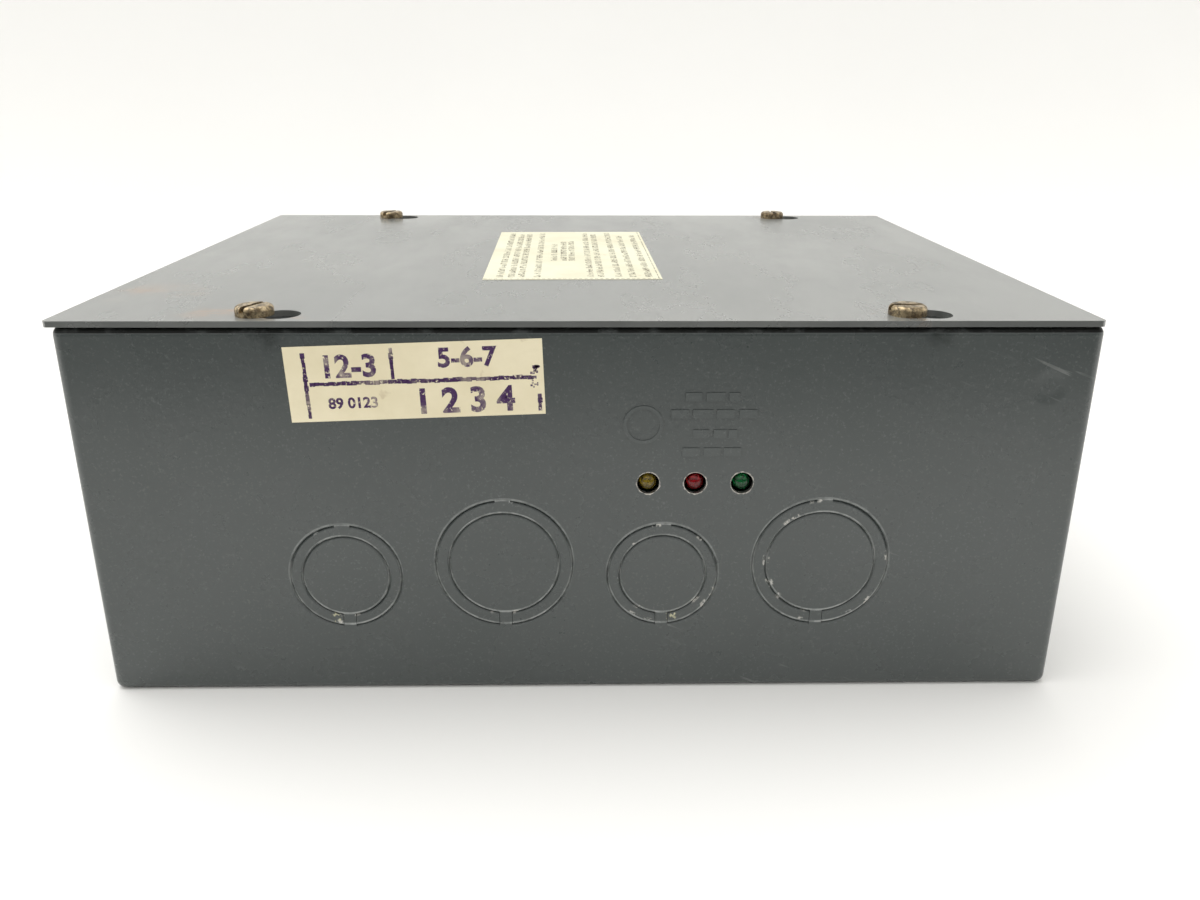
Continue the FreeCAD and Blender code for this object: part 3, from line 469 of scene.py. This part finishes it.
def moulded(name, colour, roughness, scale=900.0, spread=0.12, coat=0.0, depth=0.00002):
    material, tree, shader = startMaterial(name, colour, roughness)
    everywhere = placed(tree)
    lighter = tuple(min(1.0, part * (1 + spread) + 0.006) for part in colour)
    tone = between(tree, grain(tree, everywhere, scale * 0.07, 4.0), 0.35, 0.65)
    feed(tree, blended(tree, tone, colour, lighter), shader.inputs["Base Color"])
    feed(tree, between(tree, grain(tree, everywhere, scale * 0.3, 4.0), 0.3, 0.7, roughness, roughness + 0.1),
         shader.inputs["Roughness"])
    roughen(tree, shader, grain(tree, everywhere, scale, 3.0), depth)
    shader.inputs["Coat Weight"].default_value = coat
    return material


lamp = {"amber": (0.34, 0.24, 0.02), "red": (0.38, 0.008, 0.014), "green": (0.006, 0.17, 0.045),
        "clear": 0.8, "shine": 0.15}


def lampEpoxy(name, colour):
    material, tree, shader = startMaterial(name, colour, 0.05)
    cloudy = between(tree, grain(tree, placed(tree), 300.0, 2.0), 0.3, 0.7)
    deep = tuple(part * 0.85 for part in colour)
    feed(tree, blended(tree, cloudy, deep, colour), shader.inputs["Base Color"])
    shader.inputs["Transmission Weight"].default_value = lamp["clear"]
    shader.inputs["Specular IOR Level"].default_value = lamp["shine"]
    shader.inputs["IOR"].default_value = 1.52
    roughen(tree, shader, cloudy, 0.000003)
    return material


def clearGlass():
    material, tree, shader = startMaterial("fuseGlass", (0.93, 0.96, 0.95), 0.04)
    shader.inputs["Transmission Weight"].default_value = 1.0
    shader.inputs["IOR"].default_value = 1.45
    roughen(tree, shader, grain(tree, placed(tree), 300.0, 2.0), 0.00001)
    return material


laminate = {"mask": (0.012, 0.085, 0.035), "thread": (0.010, 0.080, 0.032),
            "crossThread": (0.016, 0.10, 0.042), "gap": (0.008, 0.065, 0.026),
            "cloud": (0.014, 0.10, 0.045), "weave": 900.0}


def boardLaminate(name):
    material, tree, shader = startMaterial(name, laminate["mask"], 0.32)
    everywhere = placed(tree)
    weave = tree.nodes.new("ShaderNodeTexBrick")
    weave.inputs["Scale"].default_value = laminate["weave"]
    feed(tree, laminate["thread"], weave.inputs["Color1"])
    feed(tree, laminate["crossThread"], weave.inputs["Color2"])
    feed(tree, laminate["gap"], weave.inputs["Mortar"])
    feed(tree, everywhere, weave.inputs["Vector"])
    clouds = between(tree, grain(tree, everywhere, 30.0, 4.0), 0.3, 0.7)
    colour = blended(tree, clouds, weave.outputs["Color"], laminate["cloud"])
    feed(tree, colour, shader.inputs["Base Color"])
    shader.inputs["Coat Weight"].default_value = 0.3
    roughen(tree, shader, weave.outputs["Fac"], 0.00001)
    return material


dressed = set()


def assign(node, material):
    dressed.add(node)
    mesh = cadNodes[node].data
    if not mesh.materials:
        mesh.materials.append(material)
    for index in range(len(mesh.materials)):
        mesh.materials[index] = material


def dressNodes():
    assign("enclosure_tray", trayPaint())
    assign("cover_plate", coverPaint())
    for number in (1, 2, 3, 4):
        spot = [frontCentre(number)]
        assign(f"knockout_ring_front_{number}", ringPaint(f"ringEnamel{number}", spot, frontChips[number]))
        assign(f"knockout_disc_front_{number}", ringPaint(f"discEnamel{number}", spot, frontChips[number]))
    for wall in ("back", "left", "right"):
        paint = ringPaint(f"{wall}KnockoutEnamel", wallCentres(wall))
        assign("knockout_rings_" + wall, paint)
        assign("knockout_discs_" + wall, paint)
    headFoot = highOf("cover_plate").z
    threads = {"scale": coverScrew["threadScale"], "top": headFoot - 1.6 * mm,
               "depth": coverScrew["threadDepth"]}
    agedZinc = zincMetal("agedYellowZinc", coverScrew["bright"], coverScrew["dull"], 0.34, 420.0,
                         coverScrew["grime"], threads)
    for corner in ("front_left", "front_right", "back_left", "back_right"):
        assign("cover_screw_" + corner, agedZinc)
    assign("cover_label", labelPaper("ivoryPaper", paper["ivory"], paper["ivoryShade"]))
    assign("stamp_label", labelPaper("creamPaper", paper["cream"], paper["creamShade"]))
    for colourName in ("amber", "red", "green"):
        assign("led_" + colourName, lampEpoxy(colourName + "Lens", lamp[colourName]))
    greenBoard = boardLaminate("solderMask")
    brightZinc = zincMetal("brightZinc", (0.72, 0.73, 0.75), (0.50, 0.51, 0.53), 0.26)
    tinned = zincMetal("tinnedWire", (0.78, 0.77, 0.74), (0.60, 0.60, 0.58), 0.3)
    nickel = zincMetal("nickelPlate", (0.70, 0.68, 0.63), (0.52, 0.50, 0.46), 0.2)
    blackPlastic = moulded("blackPlastic", (0.018, 0.018, 0.020), 0.42)
    nylon = moulded("naturalNylon", (0.70, 0.68, 0.58), 0.45)
    looks = {
        "led_board": greenBoard, "main_board": greenBoard, "board_standoffs": brightZinc,
        "board_screws": brightZinc, "terminal_screws": brightZinc, "led_leads": tinned,
        "component_leads": tinned, "fuse_caps": nickel, "fuse_clips": nickel,
        "terminal_block_base": blackPlastic, "relay_case": blackPlastic, "bridge_rectifier": blackPlastic,
        "led_board_spacers": nylon, "wire_header": nylon,
        "terminal_plates": zincMetal("brassPlate", (0.70, 0.54, 0.24), (0.48, 0.36, 0.15), 0.3),
        "insulator_sheet": moulded("fishPaper", (0.11, 0.10, 0.09), 0.8, 500.0, 0.3),
        "varistors": moulded("blueDip", (0.012, 0.055, 0.25), 0.25, 400.0, 0.2, 0.4, 0.00006),
        "film_capacitors": moulded("yellowCase", (0.62, 0.38, 0.03), 0.3, 600.0, 0.1, 0.2),
        "electrolytic_capacitor": sleeved(), "fuse_glass": clearGlass(),
        "power_resistors": moulded("whiteCeramic", (0.66, 0.64, 0.58), 0.75, 1300.0, 0.08, 0.0, 0.00005),
        "choke_core": moulded("powderedFerrite", (0.13, 0.16, 0.12), 0.6, 1100.0, 0.2, 0.0, 0.00005),
        "choke_winding": zincMetal("enamelledCopper", (0.62, 0.22, 0.07), (0.42, 0.13, 0.04), 0.22),
        "led_wires": moulded("redInsulation", (0.36, 0.018, 0.012), 0.4),
        "ground_wire": moulded("greenInsulation", (0.012, 0.16, 0.035), 0.4),
        "ground_lug": zincMetal("castAluminium", (0.66, 0.66, 0.66), (0.5, 0.5, 0.5), 0.42),
        "ground_screws": zincMetal("greenZinc", (0.08, 0.34, 0.14), (0.04, 0.22, 0.09), 0.34),
    }
    for node, material in looks.items():
        assign(node, material)
    print("materials given to", len(dressed), "nodes")


can = {"sleeve": (0.015, 0.015, 0.03), "stripe": (0.55, 0.54, 0.50), "bare": (0.40, 0.40, 0.41),
       "bareFrom": 10.6 * mm, "bareTo": 10.4 * mm, "crossFrom": 7 * mm, "crossTo": 6.8 * mm}


def sleeved():
    # black shrink sleeve with a pale stripe down one side, and a bare aluminium top
    material, tree, shader = startMaterial("shrinkSleeve", can["sleeve"], 0.25)
    axis = middleOf("electrolytic_capacitor")
    top = highOf("electrolytic_capacitor").z
    local = placed(tree, axis)
    angle = calc(tree, "ARCTAN2", axisOf(tree, 1, local), axisOf(tree, 0, local))
    off = calc(tree, "ABSOLUTE", calc(tree, "ADD", angle, 1.9))
    stripe = between(tree, off, 0.30, 0.26)
    stripe = calc(tree, "MULTIPLY", stripe, between(tree, axisOf(tree, 2), top - 1.2 * mm, top - 1.4 * mm))
    colour = blended(tree, stripe, can["sleeve"], can["stripe"])
    fromAxis = reach(tree, (axis.x, axis.y, top), (1, 1, 1000))
    inside = between(tree, fromAxis, can["bareFrom"], can["bareTo"])
    bare = calc(tree, "MULTIPLY", inside, between(tree, axisOf(tree, 2), top - 1.1 * mm, top - 0.9 * mm))
    colour = blended(tree, bare, colour, can["bare"])
    feed(tree, colour, shader.inputs["Base Color"])
    feed(tree, bare, shader.inputs["Metallic"])
    feed(tree, between(tree, bare, 0.0, 1.0, 0.25, 0.5), shader.inputs["Roughness"])
    # a scored vent cross in the top
    scored = []
    for way in (0, 1):
        away = calc(tree, "ABSOLUTE", axisOf(tree, way, local))
        scored.append(between(tree, away, 0.5 * mm, 0.2 * mm))
    cross = calc(tree, "MULTIPLY", largest(tree, scored), bare)
    cross = calc(tree, "MULTIPLY", cross, between(tree, fromAxis, can["crossFrom"], can["crossTo"]))
    dimples = calc(tree, "MULTIPLY", grain(tree, local, 260.0, 3.0), 0.1)
    roughen(tree, shader, calc(tree, "SUBTRACT", dimples, cross), 0.3 * mm)
    return material


# new pieces

def finishPiece(name, bm, material, body, smooth=False):
    mesh = bpy.data.meshes.new(name)
    bmesh.ops.recalc_face_normals(bm, faces=bm.faces)
    bm.to_mesh(mesh)
    bm.free()
    if smooth:
        for polygon in mesh.polygons:
            polygon.use_smooth = True
    mesh.materials.append(material)
    piece = bpy.data.objects.new(name, mesh)
    bpy.context.scene.collection.objects.link(piece)
    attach(piece, body)
    return piece


def bar(bm, at, length, width, height, turn=Matrix.Identity(4)):
    # a small flat block centred on a spot
    size = Matrix.Diagonal((length, width, height, 1))
    bmesh.ops.create_cube(bm, size=1.0, matrix=Matrix.Translation(at) @ turn @ size)


topPrint = {
    "rows": [0.09, 0.155, 0.21, 0.30, 0.60, 0.66, 0.76, 0.84, 0.93], "heading": [0.39, 0.45, 0.50],
    "letter": 1.25 * mm, "tall": 2.05 * mm, "stroke": 0.40 * mm, "thick": 0.02 * mm, "turn": 1.0,
    "width": 52.0 * mm, "length": 98.0 * mm, "margin": 4.0 * mm, "ink": (0.10, 0.085, 0.06),
}


def coverLabelPrint():
    # rows of plain upright strokes in word-long groups: it looks printed and says nothing
    random.seed(41)
    bm = bmesh.new()
    centre = middleOf("cover_label")
    face = highOf("cover_label").z + topPrint["thick"] / 2
    turn = Matrix.Rotation(math.radians(topPrint["turn"]), 4, "Z")
    half = topPrint["length"] / 2
    rows = [(share, 0.0, 1.0) for share in topPrint["rows"]]
    rows += [(share, 0.32, 0.68) for share in topPrint["heading"]]
    for share, start, stop in rows:
        across = (share - 0.5) * topPrint["width"]
        along = -half + topPrint["margin"] + start * (topPrint["length"] - 2 * topPrint["margin"])
        end = -half + topPrint["margin"] + stop * (topPrint["length"] - 2 * topPrint["margin"])
        end -= random.uniform(0, 0.1) * topPrint["length"] if stop == 1.0 else 0
        while along < end:
            for _ in range(random.randint(2, 8)):
                tall = topPrint["tall"] * random.choice((1.0, 1.0, 0.7))
                side = (topPrint["tall"] - tall) / 2
                spot = turn @ Vector((across + side, along, 0))
                bar(bm, (centre.x + spot.x, centre.y + spot.y, face), tall, topPrint["stroke"],
                    topPrint["thick"], turn)
                if random.random() < 0.7:
                    cross = turn @ Vector((across + random.choice((-0.35, 0.0, 0.35)) * tall,
                                           along + topPrint["letter"] * 0.3, 0))
                    bar(bm, (centre.x + cross.x, centre.y + cross.y, face), topPrint["stroke"],
                        topPrint["letter"] * 0.6, topPrint["thick"], turn)
                along += topPrint["letter"]
            along += topPrint["letter"] * 0.9
    # a row of cutting marks along the front and right edges
    for index in range(34):
        spot = turn @ Vector(((index / 33 - 0.5) * (topPrint["width"] - 1.5 * mm), -half + 0.9 * mm, 0))
        bar(bm, (centre.x + spot.x, centre.y + spot.y, face), 0.9 * mm, 0.35 * mm, topPrint["thick"], turn)
    for index in range(60):
        along = (index / 59 - 0.5) * (topPrint["length"] - 2 * mm)
        spot = turn @ Vector((topPrint["width"] / 2 - 0.9 * mm, along, 0))
        bar(bm, (centre.x + spot.x, centre.y + spot.y, face), 0.35 * mm, 0.9 * mm, topPrint["thick"], turn)
    ink = inkFilm("fadedPrint", topPrint["ink"], paper["ivory"], 0.50, 700.0)
    finishPiece("cover_label_print", bm, ink, "cover")


stampPrint = {
    "width": 62.4 * mm, "height": 19.0 * mm, "turn": 2.0, "thick": 0.02 * mm, "ink": (0.075, 0.035, 0.11),
    "line": 1.05 * mm,
    "words": [("12-3", -0.255, 0.21, 5.6, 1.0), ("5-6-7", 0.205, 0.28, 4.8, 1.0),
              ("89 0123", -0.25, -0.27, 2.7, 1.0), ("1 2 3 4", 0.185, -0.29, 6.3, 1.0)],
}


def stampPlace(u, v, lift=0.0):
    # a spot on the front label from its shares across and up
    centre = middleOf("stamp_label")
    turn = math.radians(stampPrint["turn"])
    across, up = u * stampPrint["width"], v * stampPrint["height"]
    return Vector((centre.x + across * math.cos(turn) - up * math.sin(turn),
                   lowOf("stamp_label").y - stampPrint["thick"] / 2 - lift,
                   centre.z + across * math.sin(turn) + up * math.cos(turn)))


def roughBar(bm, u, v, length, width, upright=False):
    # a ruled line laid as short overlapping dabs of ink
    turn = Matrix.Rotation(-math.radians(stampPrint["turn"]), 4, "Y")
    count = max(4, int(length / (1.1 * mm)))
    for index in range(count):
        shift = (index + 0.5) / count - 0.5
        if upright:
            at = stampPlace(u + random.uniform(-0.0012, 0.0012), v + shift * length / stampPrint["height"])
            size = (width * random.uniform(0.7, 1.15), length / count * 1.15)
        else:
            at = stampPlace(u + shift * length / stampPrint["width"], v + random.uniform(-0.006, 0.006))
            size = (length / count * 1.15, width * random.uniform(0.7, 1.15))
        bar(bm, at, size[0], stampPrint["thick"], size[1], turn)


def stampLabelInk():
    random.seed(7)
    ink = inkFilm("stampInk", stampPrint["ink"], paper["cream"], 0.56, 1500.0)
    bm = bmesh.new()
    width, height, line = stampPrint["width"], stampPrint["height"], stampPrint["line"]
    roughBar(bm, -0.425, -0.02, height * 0.86, line, True)
    roughBar(bm, 0.03, 0.0, width * 0.88, line)
    roughBar(bm, -0.085, 0.24, height * 0.40, line, True)
    roughBar(bm, 0.48, -0.34, height * 0.22, line, True)
    for index in range(14):
        at = stampPlace(0.46 + random.uniform(-0.012, 0.02), 0.02 + random.uniform(-0.16, 0.12))
        bar(bm, at, random.uniform(0.3, 1.1) * mm, stampPrint["thick"], random.uniform(0.3, 0.9) * mm)
    finishPiece("stamp_ruling", bm, ink, "box")
    for index, (digits, u, v, tall, spread) in enumerate(stampPrint["words"], 1):
        curve = bpy.data.curves.new("digits", "FONT")
        curve.body = digits
        curve.align_x = "CENTER"
        curve.align_y = "CENTER"
        curve.size = tall * 1.38 * mm
        curve.space_character = spread
        curve.offset = 0.00022 * tall / 5
        curve.extrude = stampPrint["thick"] / 2
        curve.resolution_u = 4
        flat = bpy.data.objects.new("digits", curve)
        mesh = bpy.data.meshes.new_from_object(flat)
        bpy.data.objects.remove(flat)
        lean = Matrix.Rotation(-math.radians(stampPrint["turn"]), 4, "Y")
        upright = Matrix.Rotation(math.radians(90), 4, "X")
        mesh.transform(Matrix.Translation(stampPlace(u, v)) @ lean @ upright)
        mesh.materials.clear()
        mesh.materials.append(ink)
        piece = bpy.data.objects.new(f"stamp_digits_{index}", mesh)
        bpy.context.scene.collection.objects.link(piece)
        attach(piece, "box")


def mouthOf(bm, y):
    # the many-sided end face that lies in front of y
    return [face for face in bm.faces if len(face.verts) > 4 and face.calc_center_median().y < y]


cup = {"aside": 0.15 * mm, "back": 3.4 * mm, "foot": 0.45 * mm, "mouth": 1.15 * mm, "deep": 1.1 * mm,
       "rim": 0.22 * mm, "hollow": 0.6 * mm, "stemOff": 0.762 * mm, "stemBack": 6.2 * mm,
       "stem": 0.3 * mm, "stemLong": 4.4 * mm}


def lampCups():
    # the small bright cup and the two stems inside each lamp
    metal = zincMetal("lampCup", (0.85, 0.84, 0.80), (0.7, 0.69, 0.65), 0.2, 900.0)
    for colourName in ("amber", "red", "green"):
        low, high = lowOf("led_" + colourName), highOf("led_" + colourName)
        axis = Vector(((low.x + high.x) / 2, low.y, (low.z + high.z) / 2))
        bm = bmesh.new()
        toFront = Matrix.Rotation(math.radians(90), 4, "X")
        at = Matrix.Translation(axis + Vector((-cup["aside"], cup["back"], 0)))
        bmesh.ops.create_cone(bm, cap_ends=True, segments=28, radius1=cup["foot"], radius2=cup["mouth"],
                              depth=cup["deep"], matrix=at @ toFront)
        rim = mouthOf(bm, axis.y + 3 * mm)
        bmesh.ops.inset_region(bm, faces=rim, thickness=cup["rim"], depth=0.0)
        middle = mouthOf(bm, axis.y + 3 * mm)
        bmesh.ops.translate(bm, verts=list({v for f in middle for v in f.verts}), vec=(0, cup["hollow"], 0))
        for side in (-1, 1):
            stem = Matrix.Translation(axis + Vector((side * cup["stemOff"], cup["stemBack"], 0)))
            bmesh.ops.create_cone(bm, cap_ends=True, segments=10, radius1=cup["stem"], radius2=cup["stem"],
                                  depth=cup["stemLong"], matrix=stem @ toFront)
        finishPiece("lamp_cup_" + colourName, bm, metal, "box", True)


boardLook = {"silk": (0.70, 0.70, 0.66), "trace": (0.022, 0.15, 0.062), "line": 0.28 * mm, "thick": 0.03 * mm,
             "clear": 0.8 * mm, "traces": 46, "pad": 0.9 * mm, "inset": 7 * mm,
             "deep": 10.4 * mm, "clipDeep": 8.0 * mm}


def frameOn(bm, low, high, face):
    # four thin printed lines round a rectangle on the board
    line, thick = boardLook["line"], boardLook["thick"]
    middle = (Vector(low) + Vector(high)) / 2
    for side in (0, 1):
        edge = (low, high)[side]
        bar(bm, (middle.x, edge[1], face), high[0] - low[0] + line, line, thick)
        bar(bm, (edge[0], middle.y, face), line, high[1] - low[1] - line, thick)


def boardDetails():
    random.seed(23)
    low, high = lowOf("main_board"), highOf("main_board")
    face = high.z + boardLook["thick"] / 2
    clear = Vector((boardLook["clear"], boardLook["clear"], 0))
    silk = moulded("silkPrint", boardLook["silk"], 0.6)
    bm = bmesh.new()
    for node in ("terminal_block_base", "electrolytic_capacitor", "relay_case", "bridge_rectifier",
                 "wire_header", "choke_winding", "varistors"):
        frameOn(bm, lowOf(node) - clear, highOf(node) + clear, face)
    for node, count in (("film_capacitors", 2), ("power_resistors", 3), ("fuse_clips", 2)):
        first, last = lowOf(node), highOf(node)
        deep = boardLook["clipDeep"] if node == "fuse_clips" else boardLook["deep"]
        step = (last.y - first.y - deep) / (count - 1)
        for index in range(count):
            near = Vector((first.x, first.y + index * step, 0))
            frameOn(bm, near - clear, Vector((last.x, near.y + deep, 0)) + clear, face)
    finishPiece("board_print", bm, silk, "box")
    traces, pads = bmesh.new(), bmesh.new()
    inset = boardLook["inset"]
    for index in range(boardLook["traces"]):
        x = random.uniform(low.x + inset, high.x - inset)
        y = random.uniform(low.y + inset, high.y - inset)
        wide = random.choice((0.8, 0.8, 1.4, 2.6)) * mm
        run = min(random.uniform(8, 34) * mm, high.x - inset - x)
        rise = min(random.uniform(6, 24) * mm, high.y - inset - y)
        # no two tops level, or they would fleck where they cross
        trace = boardLook["thick"] * (0.35 + 0.35 * index / boardLook["traces"])
        taller = trace + boardLook["thick"] * 0.004
        bar(traces, (x + run / 2, y, high.z + trace / 2), run + wide, wide, trace)
        bar(traces, (x + run, y + rise / 2, high.z + taller / 2), wide, rise + wide, taller)
        for spot in ((x, y), (x + run, y + rise)):
            at = Matrix.Translation((*spot, high.z + boardLook["thick"] / 2))
            bmesh.ops.create_cone(pads, cap_ends=True, segments=18, radius1=boardLook["pad"],
                                  radius2=boardLook["pad"] * 0.8, depth=boardLook["thick"] * 2, matrix=at)
    traceMask = moulded("traceMask", boardLook["trace"], 0.3, 900.0, 0.12, 0.3)
    finishPiece("board_traces", traces, traceMask, "box")
    solder = zincMetal("solder", (0.74, 0.74, 0.72), (0.52, 0.52, 0.50), 0.28, 900.0)
    finishPiece("board_pads", pads, solder, "box")
    return solder


def fuseElements(metal):
    low, high = lowOf("fuse_glass"), highOf("fuse_glass")
    radius = (high.z - low.z) / 2
    bm = bmesh.new()
    toRight = Matrix.Rotation(math.radians(90), 4, "Y")
    for y in (low.y + radius, high.y - radius):
        at = Matrix.Translation(((low.x + high.x) / 2, y, low.z + radius))
        bmesh.ops.create_cone(bm, cap_ends=True, segments=10, radius1=0.16 * mm, radius2=0.16 * mm,
                              depth=(high.x - low.x) * 0.98, matrix=at @ toRight)
    finishPiece("fuse_elements", bm, metal, "box", True)


caseMark = {"tall": 1.7 * mm, "capDeep": 10 * mm, "resistorDeep": 9.5 * mm, "long": 0.66, "paleLong": 0.6,
            "aside": 6 * mm, "dark": (0.05, 0.045, 0.04), "pale": (0.55, 0.55, 0.52)}


def markRows(bm, centre, length, rows, tall, face):
    # short rows of plain strokes, as on a moulded case
    for row in range(rows):
        y = centre.y + (row - (rows - 1) / 2) * tall * 1.7
        x = centre.x - length / 2
        while x < centre.x + length / 2 - tall * 0.5:
            if random.random() < 0.82:
                bar(bm, (x + tall * 0.16, y, face), tall * 0.2, tall, boardLook["thick"])
                at = (x + tall * 0.3, y + random.choice((-0.4, 0.0, 0.4)) * tall, face)
                bar(bm, at, tall * 0.42, tall * 0.2, boardLook["thick"])
            x += tall * 0.75


def caseMarks():
    random.seed(5)
    dark, pale = bmesh.new(), bmesh.new()
    for node, count, bm in (("film_capacitors", 2, dark), ("power_resistors", 3, dark)):
        low, high = lowOf(node), highOf(node)
        deep = caseMark["capDeep"] if count == 2 else caseMark["resistorDeep"]
        step = (high.y - low.y - deep) / (count - 1)
        for index in range(count):
            centre = Vector(((low.x + high.x) / 2, low.y + deep / 2 + index * step, 0))
            markRows(bm, centre, (high.x - low.x) * caseMark["long"], 2, caseMark["tall"],
                     high.z + boardLook["thick"] / 2)
    for node in ("relay_case", "bridge_rectifier"):
        low, high = lowOf(node), highOf(node)
        centre = (low + high) / 2
        away = 0 if node == "relay_case" else caseMark["aside"]
        rows = 3 if node == "relay_case" else 1
        markRows(pale, centre - Vector((0, away, 0)), (high.x - low.x) * caseMark["paleLong"], rows,
                 caseMark["tall"], high.z + boardLook["thick"] / 2)
    finishPiece("case_marks_dark", dark, moulded("darkPrint", caseMark["dark"], 0.6), "box")
    finishPiece("case_marks_pale", pale, moulded("palePrint", caseMark["pale"], 0.6), "box")


# stage, light and camera

stage = {"floor": (0.93, 0.925, 0.905), "wide": 1.7, "front": -0.37, "turnUp": 0.75, "curve": 0.35,
         "top": 1.3, "skyDiffuse": 1.02, "sunPower": 1.6, "sunSpread": 60.0, "sunTurn": (-14.0, -20.0, 0.0),
         "card": (0.06, 0.06, 0.06), "cardBack": 0.9, "cardTop": 0.35}


def sheetOf(name, rows, material):
    # a broad strip of quads through rows of (y, z), spanning the stage's width
    bm = bmesh.new()
    lines = [[bm.verts.new((side * stage["wide"], y, z)) for side in (-1, 1)] for y, z in rows]
    for first, second in zip(lines, lines[1:]):
        bm.faces.new((first[0], first[1], second[1], second[0]))
    bmesh.ops.recalc_face_normals(bm, faces=bm.faces)
    mesh = bpy.data.meshes.new(name)
    bm.to_mesh(mesh)
    bm.free()
    for polygon in mesh.polygons:
        polygon.use_smooth = True
    mesh.materials.append(material)
    strip = bpy.data.objects.new(name, mesh)
    bpy.context.scene.collection.objects.link(strip)


def makeStage():
    low = cadBox[0][2] - 0.00002
    material, tree, shader = startMaterial("paleSweep", stage["floor"], 0.85)
    tone = between(tree, grain(tree, placed(tree), 3.0, 4.0), 0.3, 0.7)
    shade = tuple(part * 0.985 for part in stage["floor"])
    feed(tree, blended(tree, tone, stage["floor"], shade), shader.inputs["Base Color"])
    rows = [(stage["front"], low), (stage["turnUp"], low)]
    for step in range(1, 13):
        angle = math.radians(90 * step / 12)
        rows.append((stage["turnUp"] + stage["curve"] * math.sin(angle),
                     low + stage["curve"] * (1 - math.cos(angle))))
    rows.append((stage["turnUp"] + stage["curve"], low + stage["top"]))
    sheetOf("floor", rows, material)
    darkCard = startMaterial("darkCard", stage["card"], 0.9)[0]
    sheetOf("dark_card", [(stage["front"], low), (-stage["cardBack"], low),
                          (-stage["cardBack"], low + stage["cardTop"])], darkCard)
    world = bpy.data.worlds.new("studio")
    bpy.context.scene.world = world
    world.use_nodes = True
    sky = world.node_tree
    background = sky.nodes["Background"]
    paths = sky.nodes.new("ShaderNodeLightPath")
    seen = calc(sky, "MAXIMUM", paths.outputs["Is Camera Ray"],
                calc(sky, "MAXIMUM", paths.outputs["Is Glossy Ray"], paths.outputs["Is Transmission Ray"]))
    feed(sky, between(sky, seen, 0.0, 1.0, stage["skyDiffuse"], 1.0), background.inputs["Strength"])
    background.inputs["Color"].default_value = (1.0, 0.992, 0.97, 1)
    light = bpy.data.lights.new("sun", "SUN")
    light.energy = stage["sunPower"]
    light.angle = math.radians(stage["sunSpread"])
    holder = bpy.data.objects.new("sun", light)
    holder.rotation_euler = [math.radians(part) for part in stage["sunTurn"]]
    bpy.context.scene.collection.objects.link(holder)


cameraSetup = {"back": 0.2367, "height": 0.15501, "side": -0.0002, "down": 20.009, "aside": 1.061,
               "roll": 0.206, "lens": 30.265, "sensor": 36.0}


def makeCamera():
    data = bpy.data.cameras.new("camera")
    data.lens = cameraSetup["lens"]
    data.sensor_width = cameraSetup["sensor"]
    data.clip_start = 0.01
    camera = bpy.data.objects.new("camera", data)
    tilt = math.radians(90 - cameraSetup["down"])
    look = Euler((tilt, 0, -math.radians(cameraSetup["aside"]))).to_matrix()
    look = look @ Matrix.Rotation(math.radians(cameraSetup["roll"]), 3, "Z")
    front = -(highOf("enclosure_tray").y)
    spot = Vector((cameraSetup["side"], front - cameraSetup["back"], cameraSetup["height"]))
    camera.matrix_world = Matrix.Translation(spot) @ look.to_4x4()
    bpy.context.scene.collection.objects.link(camera)
    bpy.context.scene.camera = camera


makeCamera()
makeStage()
bpy.context.scene.view_settings.view_transform = "Standard"
print("stage, lamps and camera set")
dressNodes()
coverLabelPrint()
stampLabelInk()
print("labels printed")
lampCups()
print("lamps filled")
fuseElements(boardDetails())
caseMarks()
print("board and cases marked")
